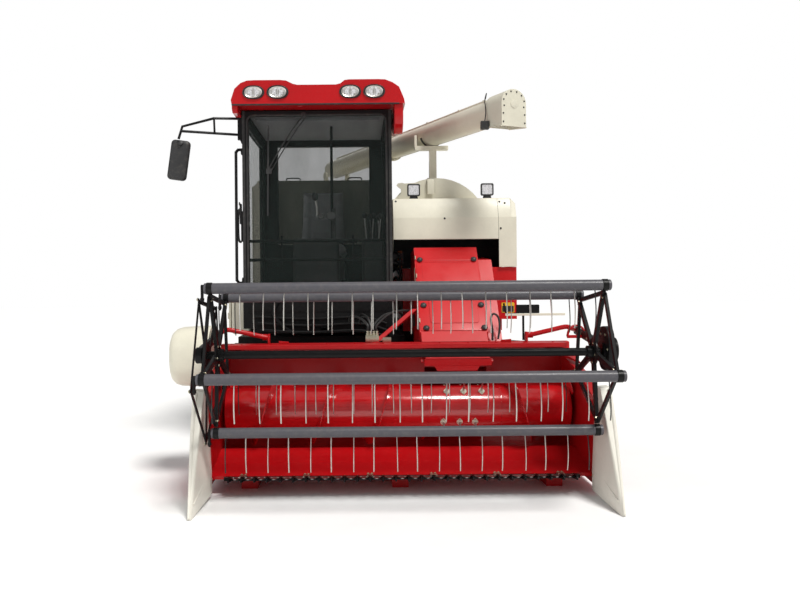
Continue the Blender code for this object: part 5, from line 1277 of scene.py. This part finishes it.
# lips round the mouth
for v in (-0.107, 0.107):
    spout.sweep([SPOUT @ V((3.060, v, -0.125)), SPOUT @ V((3.266, v, -0.150))], 0.0045, 6)
spout.lathe([(0, 0.012), (0, 0.030), (0.003, 0.030), (0.006, 0.022), (0.006, 0.008)], SPOUT @ V((3.2685, 0, 0.012)), SPOUT @ V((3.28, 0, 0.012)), 24)
spout.done("spout_shell", CREAM, "boom", ["unload_spout"], slot="unload_spout", smooth=35)
for k in range(8):
    a = math.radians(-20 + 220 * k / 7)
    spout_bolts.bolt(SPOUT @ V((3.2685, 0.090 * math.cos(a), 0.022 + 0.080 * math.sin(a))), DIR, 0.0045, 0.003)
for z in (-0.06, -0.12):
    for v in (-0.092, 0.092):
        spout_bolts.bolt(SPOUT @ V((3.2685, v, z)), DIR, 0.0045, 0.003)
spout_bolts.done("spout_bolts", IRON, "boom")
# a black work lamp under the near side, with its cable loop
lamp2 = Build()
lamp2.box(-0.030, 0.030, -0.022, 0.022, -0.030, 0.030, 0.006, at=Matrix.Translation(SPOUT @ V((3.09, -0.130, -0.118))))
lamp2.sweep(curve([SPOUT @ V(p) for p in ((3.09, -0.130, -0.09), (3.085, -0.116, -0.02), (3.07, -0.113, 0.07), (3.05, -0.085, 0.128), (3.00, -0.060, 0.100))], 6), 0.004, 6)
lamp2.done("spout_lamp", PLASTIC, "boom")

# turret's bolts, and the rubber in the cradle
tur = Build()
for k in range(8):
    a = 2 * math.pi * (k + 0.5) / 8
    tur.bolt((-0.25 + 0.135 * math.cos(a), 1.90 + 0.135 * math.sin(a), 2.313), (0, 0, 1), 0.008, 0.005)
tur.done("turret_bolts", ZINC, "turret")
lo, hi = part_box("cradle")
saddle = Build()
arc = []
for k in range(13):
    a = math.radians(200 + 140 * k / 12)
    arc.append(V((0.619, -0.02, 2.53)) + (ACROSS * math.cos(a) + V((0, 0, math.sin(a)))) * 0.108)
saddle.sweep([p + DIR * 0.0 for p in arc], 0.01, 4, flat=(0.0045, 0.016))
saddle.done("cradle_rubber", RUBBER, "machine")

# ------------------------------------------------------------------ the tracks


def hull2(points):
    pts = sorted(set(points))

    def half(seq):
        out = []
        for p in seq:
            while len(out) > 1 and (out[-1][0] - out[-2][0]) * (p[1] - out[-2][1]) - (out[-1][1] - out[-2][1]) * (p[0] - out[-2][0]) <= 0:
                out.pop()
            out.append(p)
        return out[:-1]

    return half(pts) + half(pts[::-1])


def loop_at(grow):
    pts = []
    for cy, cz, r in ((-0.32, 0.465, 0.2104), (1.72, 0.315, 0.2104), (0.10, 0.1550, 0.0800), (1.50, 0.1550, 0.0800)):
        for k in range(120):
            a = 2 * math.pi * k / 120
            pts.append((round(cy + (r + grow) * math.cos(a), 6), round(cz + (r + grow) * math.sin(a), 6)))
    return hull2(pts)


def walk(loop, count):
    """Evenly spaced (point, along, outward) places round a closed loop."""
    pts = [V((0, *p)) for p in loop]
    lengths = [(pts[(i + 1) % len(pts)] - pts[i]).length for i in range(len(pts))]
    total, out, i, done = sum(lengths), [], 0, 0.0
    for k in range(count):
        want = total * k / count
        while done + lengths[i] < want:
            done += lengths[i]
            i += 1
        a, b = pts[i], pts[(i + 1) % len(pts)]
        along = (b - a).normalized()
        out.append((a + along * (want - done), along, V((0, along.z, -along.y))))
    return out


for name, x in (("left", 0.77), ("right", -0.51)):
    tread, cores = Build(), Build()
    for k, (p, along, outward) in enumerate(walk(loop_at(0.035), 108)):
        turn = Matrix((V((1, 0, 0)), along, outward)).transposed().to_4x4()
        at = Matrix.Translation(p + V((x, 0, 0))) @ turn
        if p.z < 0.11 and along.y > 0.98 or p.z < 0.11 and along.y < -0.98:
            high = 0.006
        else:
            high = 0.008
        if k % 3:
            tread.box(-0.196, -0.120, -0.011, 0.011, -0.002, high, 0.003, 1, at=at)
            tread.box(0.120, 0.196, -0.011, 0.011, -0.002, high, 0.003, 1, at=at)
        if k % 3 == 1:
            tread.box(-0.085, 0.085, -0.020, 0.020, -0.002, 0.004, 0.002, 1, at=at)
        # the ends of the steel cores, just showing at the belt's edges
        cores.box(-0.2106, -0.198, -0.009, 0.009, -0.022, -0.010, 0.002, 1, at=at)
        cores.box(0.198, 0.2106, -0.009, 0.009, -0.022, -0.010, 0.002, 1, at=at)
    tread.done(f"tread_{name}", RUBBER, "machine")
    cores.done(f"track_cores_{name}", IRON, "machine")
    wheels = Build()
    for s in (-1, 1):
        face = x + s * 0.151
        for cy, cz in [(0.10 + 0.35 * i, 0.155) for i in range(5)]:
            wheels.lathe([(0, 0.008), (0, 0.030), (0.006, 0.030), (0.009, 0.022), (0.009, 0.006)], (face, cy, cz), (face + s * 0.01, cy, cz), 20)
    wheels.done(f"roller_caps_{name}", IRON, "machine")

# --------------------------------------------------------------- the grain tank
tank, tank_bits, tank_black = Build(), Build(), Build()
TX0, TX1, TY0, TY1, TZ0, TZ1 = -0.98, 0.2992, 0.46, 2.03, 0.86, 2.21
for k in range(5):
    y0 = TY0 + 0.09 + k * 0.292
    tank.slab(rounded(y0, y0 + 0.215, 1.06, 2.08, 0.03), "x", TX0 - 0.0045, TX0 - 0.0002, 0.002, 2)
for k in range(3):
    x0 = -0.36 + 0.0 * k
for k in range(4):
    x0 = TX0 + 0.10 + k * 0.30
    if x0 + 0.2 < -0.40 or x0 > -0.10:
        tank.slab(rounded(x0, x0 + 0.20, 1.34, 2.08, 0.03), "y", TY1 + 0.0002, TY1 + 0.0045, 0.002, 2)
# corner angles and a rolled rim round the top
for y in (TY0 + 0.001, TY1 - 0.001):
    tank.sweep([(TX0 + 0.001, y, TZ0 + 0.02), (TX0 + 0.001, y, TZ1 - 0.05)], 0.007, 8)
tank.sweep([(TX0 + 0.04, TY0 + 0.05, TZ1), (TX0 + 0.04, TY1 - 0.05, TZ1), (TX1 - 0.04, TY1 - 0.05, TZ1), (TX1 - 0.04, TY0 + 0.05, TZ1)], 0.008, 8, closed=True)
# two lids on top with handles and hinges
for k, (x0, x1, y0, y1) in enumerate(((-0.88, -0.36, 0.60, 1.55), (-0.30, 0.22, 0.60, 1.55))):
    tank.slab(rounded(x0, x1, y0, y1, 0.04), "z", TZ1 + 0.0003, TZ1 + 0.014, 0.004, 2)
    for j in range(3):
        tank.slab(rounded(x0 + 0.06, x1 - 0.06, y0 + 0.08 + j * 0.28, y0 + 0.28 + j * 0.28, 0.02), "z", TZ1 + 0.0138, TZ1 + 0.0175, 0.0015, 1)
    tank_black.sweep(curve([((x0 + x1) / 2 - 0.06, y0 + 0.045, TZ1 + 0.014), ((x0 + x1) / 2 - 0.055, y0 + 0.045, TZ1 + 0.045), ((x0 + x1) / 2 + 0.055, y0 + 0.045, TZ1 + 0.045), ((x0 + x1) / 2 + 0.06, y0 + 0.045, TZ1 + 0.014)], 5), 0.006, 8)
    for x in (x0 + 0.08, x1 - 0.08):
        tank_bits.rod((x - 0.035, y1 + 0.008, TZ1 + 0.008), (x + 0.035, y1 + 0.008, TZ1 + 0.008), 0.007, 10)
tank.done("tank_panels", CREAM, "machine")
# sight window on the tank's side, with a bolted black rim
tank_black.lathe([(0, 0.060), (0.001, 0.088), (0.005, 0.090), (0.009, 0.085), (0.009, 0.062)], (TX0 - 0.0046, 1.24, 1.85), (TX0 - 0.014, 1.24, 1.85), 36)
tank_black.done("tank_handles", PLASTIC, "machine")
window = Build()
window.lathe([(0, 0.002), (0, 0.062), (0.003, 0.062), (0.003, 0.002)], (TX0 - 0.0048, 1.24, 1.85), (TX0 - 0.009, 1.24, 1.85), 36)
window.done("tank_window", GLASS, "machine")
for k in range(8):
    a = k * math.pi / 4
    tank_bits.bolt((TX0 - 0.0135, 1.24 + 0.075 * math.cos(a), 1.85 + 0.075 * math.sin(a)), (-1, 0, 0), 0.005, 0.003)
for y in [TY0 + 0.05 + 0.183 * k for k in range(9)]:
    tank_bits.bolt((TX0 - 0.0002, y, 0.93), (-1, 0, 0), 0.008, 0.004)
    tank_bits.bolt((TX0 - 0.0002, y, 2.14), (-1, 0, 0), 0.007, 0.003)
tank_bits.done("tank_bolts", ZINC, "machine")

# ---------------------------------------------------- the thresher's left side
side, side_bits, side_red = Build(), Build(), Build()
sx = 1.2052
for y0, y1 in ((1.50, 1.98),):
    side.slab(rounded(y0, y1, 1.43, 1.86, 0.025), "x", sx, sx + 0.004, 0.0015, 2)
for k in range(5):
    z = 1.50 + 0.066 * k
    side.slab([(1.56, z), (1.92, z), (1.92, z + 0.010), (1.56, z + 0.030)], "x", sx + 0.004, sx + 0.011, 0.002, 1)
side.done("thresher_vent", CREAM, "machine")
for y0, y1 in ((0.06, 0.62), (0.70, 1.26), (1.34, 1.96)):
    side_red.slab(rounded(y0, y1, 0.895, 1.000 if y1 < 1.5 else 1.34, 0.02), "x", 1.1903, 1.1945, 0.0015, 2)
side_red.done("lower_panels", RED, "machine")
for y in (1.52, 1.96):
    for z in (1.45, 1.84):
        side_bits.bolt((sx + 0.004, y, z), (1, 0, 0), 0.007, 0.004)
for y0, y1 in ((0.08, 0.60), (0.72, 1.24), (1.36, 1.94)):
    for y in (y0, y1):
        for z in ((0.91, 0.985) if y1 < 1.5 else (0.91, 1.32)):
            side_bits.bolt((1.1945, y, z), (1, 0, 0), 0.007, 0.004)
side_bits.done("thresher_bolts", ZINC, "machine")
door, door_bits, door_black = Build(), Build(), Build()
dx = 1.2272
door.slab(rounded(0.10, 1.38, 1.10, 1.40, 0.04), "x", dx, dx + 0.005, 0.003, 2)
door.slab(rounded(0.10, 1.38, 1.47, 1.79, 0.04), "x", dx, dx + 0.005, 0.003, 2)
for k in range(6):
    z = 1.515 + 0.04 * k
    door.slab([(0.22, z), (0.62, z), (0.62, z + 0.006), (0.22, z + 0.020)], "x", dx + 0.005, dx + 0.012, 0.0015, 1)
door.done("side_door_panels", CREAM, "side_door_body")
for z in (1.16, 1.72):
    door_black.slab(rounded(1.395, 1.44, z - 0.04, z + 0.04, 0.008), "x", dx, dx + 0.008, 0.002, 2)
    door_black.box(dx + 0.008, dx + 0.016, 1.400, 1.430, z - 0.012, z + 0.012, 0.003)
door_black.done("side_door_latches", PLASTIC, "side_door_body")
for z in (1.12, 1.44, 1.76):
    door_bits.rod((1.222, 0.0265, z - 0.04), (1.222, 0.0265, z + 0.04), 0.0065, 10)
    door_bits.slab([(0.034, z - 0.03), (0.075, z - 0.03), (0.075, z + 0.03), (0.034, z + 0.03)], "x", dx, dx + 0.003, 0.001, 1)
door_bits.done("side_door_hinges", ZINC, "side_door_body")

# ---------------------------------------------------- radiator screen and housing
screen, screen_frame = Build(), Build()
rx = -1.0712
screen.slab(rounded(-0.262, 0.397, 0.905, 1.110, 0.012), "x", rx - 0.0015, rx - 0.0003, 0.0)
for k in range(33):
    y = -0.258 + 0.020 * k
    screen.slab([(y, 0.908), (y + 0.004, 0.908), (y + 0.004, 1.107), (y, 1.107)], "x", rx - 0.0035, rx - 0.0015, 0.0)
for k in range(10):
    z = 0.912 + 0.020 * k
    screen.slab([(-0.26, z), (0.395, z), (0.395, z + 0.004), (-0.26, z + 0.004)], "x", rx - 0.0050, rx - 0.0030, 0.0)
screen.done("radiator_screen", BLACK, "radiator_door_body")
loop = [V((rx - 0.003, u, w)) for u, w in rounded(-0.270, 0.405, 0.897, 1.118, 0.014)]
screen_frame.sweep(loop, 0.006, 8, closed=True)
screen_frame.box(rx - 0.014, rx - 0.0005, -0.292, -0.272, 0.985, 1.035, 0.003)
screen_frame.done("radiator_frame", CREAM, "radiator_door_body")

# -------------------------------------------------------- the back of the machine
back, back_black, back_bits, tail = Build(), Build(), Build(), Build()
lo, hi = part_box("straw_hood")
lo2, hi2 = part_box("straw_deflector")
for x in (0.46, 0.78, 1.10):
    back_bits.rod((x - 0.035, 2.4665, 1.512), (x + 0.035, 2.4665, 1.512), 0.008, 10)
back_bits.done("deflector_hinges", ZINC, "machine")
ft_lo, ft_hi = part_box("fuel_tank")
back_black.lathe([(0, 0.010), (0, 0.040), (0.004, 0.044), (0.022, 0.044), (0.026, 0.038), (0.026, 0.010)], (-0.80, 2.165, ft_hi.z), (-0.80, 2.165, ft_hi.z + 0.03), 24)
for x in (-0.78, -0.52):
    back_black.slab([(ft_lo.y + 0.004, ft_lo.z), (ft_hi.y + 0.004, ft_lo.z), (ft_hi.y + 0.004, ft_hi.z - 0.02), (ft_hi.y - 0.02, ft_hi.z + 0.004), (ft_lo.y + 0.004, ft_hi.z + 0.004)], "x", x - 0.018, x + 0.018, 0.002, 1)
back_black.done("fuel_tank_fittings", BLACK, "machine")
for x in (-0.90,):
    tail.box(x, x + 0.12, TY1 + 0.0002, TY1 + 0.022, 1.36, 1.42, 0.006)
tail.done("tail_lamp", AMBER, "machine")
lower, lower_bits = Build(), Build()
# a belt guard at the rear, between hood and tank
lower.slab(rounded(-0.05, 0.34, 0.93, 1.33, 0.03), "y", 2.0505, 2.0560, 0.002, 2)
lower.done("rear_guard", RED, "machine")
# cab base: tread plate edge, steps' ribs and floor pipes
base, base_pipes = Build(), Build()
for k in range(3):
    z = 1.02 - 0.05 * k
    base_pipes.sweep(curve([(-0.80 + 0.02 * k, -0.712 - 0.004 * k, z), (-0.40, -0.716 - 0.004 * k, z - 0.02), (0.0, -0.714 - 0.004 * k, z - 0.01), (0.20, -0.712, z - 0.06)], 6), 0.010, 8)
base_pipes.sweep(curve([(-0.62, -0.715, 1.14), (-0.66, -0.725, 1.05), (-0.60, -0.72, 0.96), (-0.52, -0.715, 0.90)], 6), 0.012, 8)
base_pipes.done("cab_hoses", FRAME, "machine")
base.slab(rounded(-0.86, 0.22, 1.055, 1.150, 0.015), "y", -0.7065, -0.7003, 0.002, 2)
base.slab(rounded(-0.80, -0.30, 0.890, 1.000, 0.015), "y", -0.7065, -0.7003, 0.002, 2)
base.slab(rounded(-0.24, 0.20, 0.890, 1.000, 0.015), "y", -0.7065, -0.7003, 0.002, 2)
base.done("cab_base_panels", FRAME, "machine")
st_lo, st_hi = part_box("step")
treads = Build()
for z in (st_lo.z, (st_lo.z + st_hi.z) / 2):
    for k in range(5):
        treads.rod((st_lo.x + 0.008, st_lo.y + 0.03 + k * 0.045, z + 0.032), (st_lo.x + 0.12, st_lo.y + 0.03 + k * 0.045, z + 0.032), 0.004, 6)
treads.done("step_treads", IRON, "machine")
# header sides: bolts, skid bolts and the auger's end hubs
ends = Build()
hubs = Build()
for x, s in ((HX1 + 0.055, 1), (HX0 - 0.055, -1)):
    for y, z in ((-1.30, 0.60), (-1.30, 0.30), (-1.60, 0.20), (-1.80, 0.20), (-1.80, 0.45), (-1.55, 0.60)):
        ends.bolt((x, y, z), (s, 0, 0), 0.009, 0.005)
    for k in range(6):
        a = k * math.pi / 3
        ends.bolt((x + s * 0.005, AUGER_Y + 0.058 * math.cos(a), AUGER_Z + 0.058 * math.sin(a)), (s, 0, 0), 0.0065, 0.004)
    hubs.lathe([(0, 0.006), (0, 0.074), (0.005, 0.074), (0.007, 0.040), (0.013, 0.030), (0.013, 0.006)], (x, AUGER_Y, AUGER_Z), (x + s * 0.01, AUGER_Y, AUGER_Z), 32)
ends.done("header_end_bolts", ZINC, "header")
hubs.done("header_end_hubs", IRON, "header")

# ------------------------------------------------------- stage, lights, camera
floor_build = Build()
bmesh.ops.create_grid(floor_build.bm, x_segments=1, y_segments=1, size=30.0, matrix=Matrix.Translation((0, 0, -0.0005)))
bmesh.ops.recalc_face_normals(floor_build.bm, faces=floor_build.bm.faces)
floor_mesh = bpy.data.meshes.new("floor")
floor_build.bm.to_mesh(floor_mesh)
floor_build.bm.free()
floor = bpy.data.objects.new("floor", floor_mesh)
bpy.context.scene.collection.objects.link(floor)
FLOOR, floor_tree, floor_shader, floor_link = base_nodes("floor_white")
floor_grain = noise(floor_tree, 3.0, 3.0)
floor_tone = ramp(floor_tree, floor_grain.outputs["Fac"], [(0.3, (0.93, 0.93, 0.93)), (0.7, (0.96, 0.96, 0.96))])
floor_link(floor_tone.outputs["Color"], floor_shader.inputs["Base Color"])
floor_shader.inputs["Roughness"].default_value = 0.85
floor_shader.inputs["Specular IOR Level"].default_value = 0.1
floor_mesh.materials.append(FLOOR)

bpy.context.scene.view_settings.view_transform = "Standard"
world = bpy.data.worlds.new("studio")
bpy.context.scene.world = world
world.use_nodes = True
tree = world.node_tree
sky = tree.nodes["Background"]
sky.inputs["Color"].default_value = (1.0, 1.0, 1.0, 1.0)
sky.inputs["Strength"].default_value = 0.36
backdrop = tree.nodes.new("ShaderNodeBackground")
backdrop.inputs["Color"].default_value = (1.0, 1.0, 1.0, 1.0)
backdrop.inputs["Strength"].default_value = 1.0
seen = tree.nodes.new("ShaderNodeLightPath")
blend = tree.nodes.new("ShaderNodeMixShader")
tree.links.new(seen.outputs["Is Camera Ray"], blend.inputs["Fac"])
tree.links.new(sky.outputs["Background"], blend.inputs[1])
tree.links.new(backdrop.outputs["Background"], blend.inputs[2])
tree.links.new(blend.outputs["Shader"], tree.nodes["World Output"].inputs["Surface"])


def area_light(name, location, target, size, power, colour=(1, 1, 1)):
    data = bpy.data.lights.new(name, "AREA")
    data.shape, data.size, data.size_y = "RECTANGLE", size[0], size[1]
    data.energy, data.color = power, colour
    light = bpy.data.objects.new(name, data)
    light.location = location
    light.rotation_mode = "QUATERNION"
    light.rotation_quaternion = (V(target) - V(location)).to_track_quat("-Z", "Y")
    bpy.context.scene.collection.objects.link(light)
    return light


sun_data = bpy.data.lights.new("sun", "SUN")
sun_data.energy, sun_data.angle, sun_data.color = 2.8, math.radians(16), (1.0, 0.985, 0.955)
sun = bpy.data.objects.new("sun", sun_data)
sun.rotation_mode = "QUATERNION"
sun.rotation_quaternion = V((-0.34, 0.50, -1.0)).to_track_quat("-Z", "Y")
bpy.context.scene.collection.objects.link(sun)
area_light("fill", (-4.5, -5.0, 2.6), (0, -0.8, 1.1), (3.5, 3.0), 45)
area_light("rim", (0.5, 6.0, 4.2), (0, 0.5, 1.5), (4.0, 2.0), 60)

camera_data = bpy.data.cameras.new("camera")
camera_data.lens = 33.7
camera_data.sensor_width = 36
camera_data.shift_x, camera_data.shift_y = 0.05, -0.026
camera = bpy.data.objects.new("camera", camera_data)
camera.location = (0, -6.42, 1.30)
camera.rotation_euler = (math.radians(90), math.radians(0.54), 0)
bpy.context.scene.collection.objects.link(camera)
bpy.context.scene.camera = camera
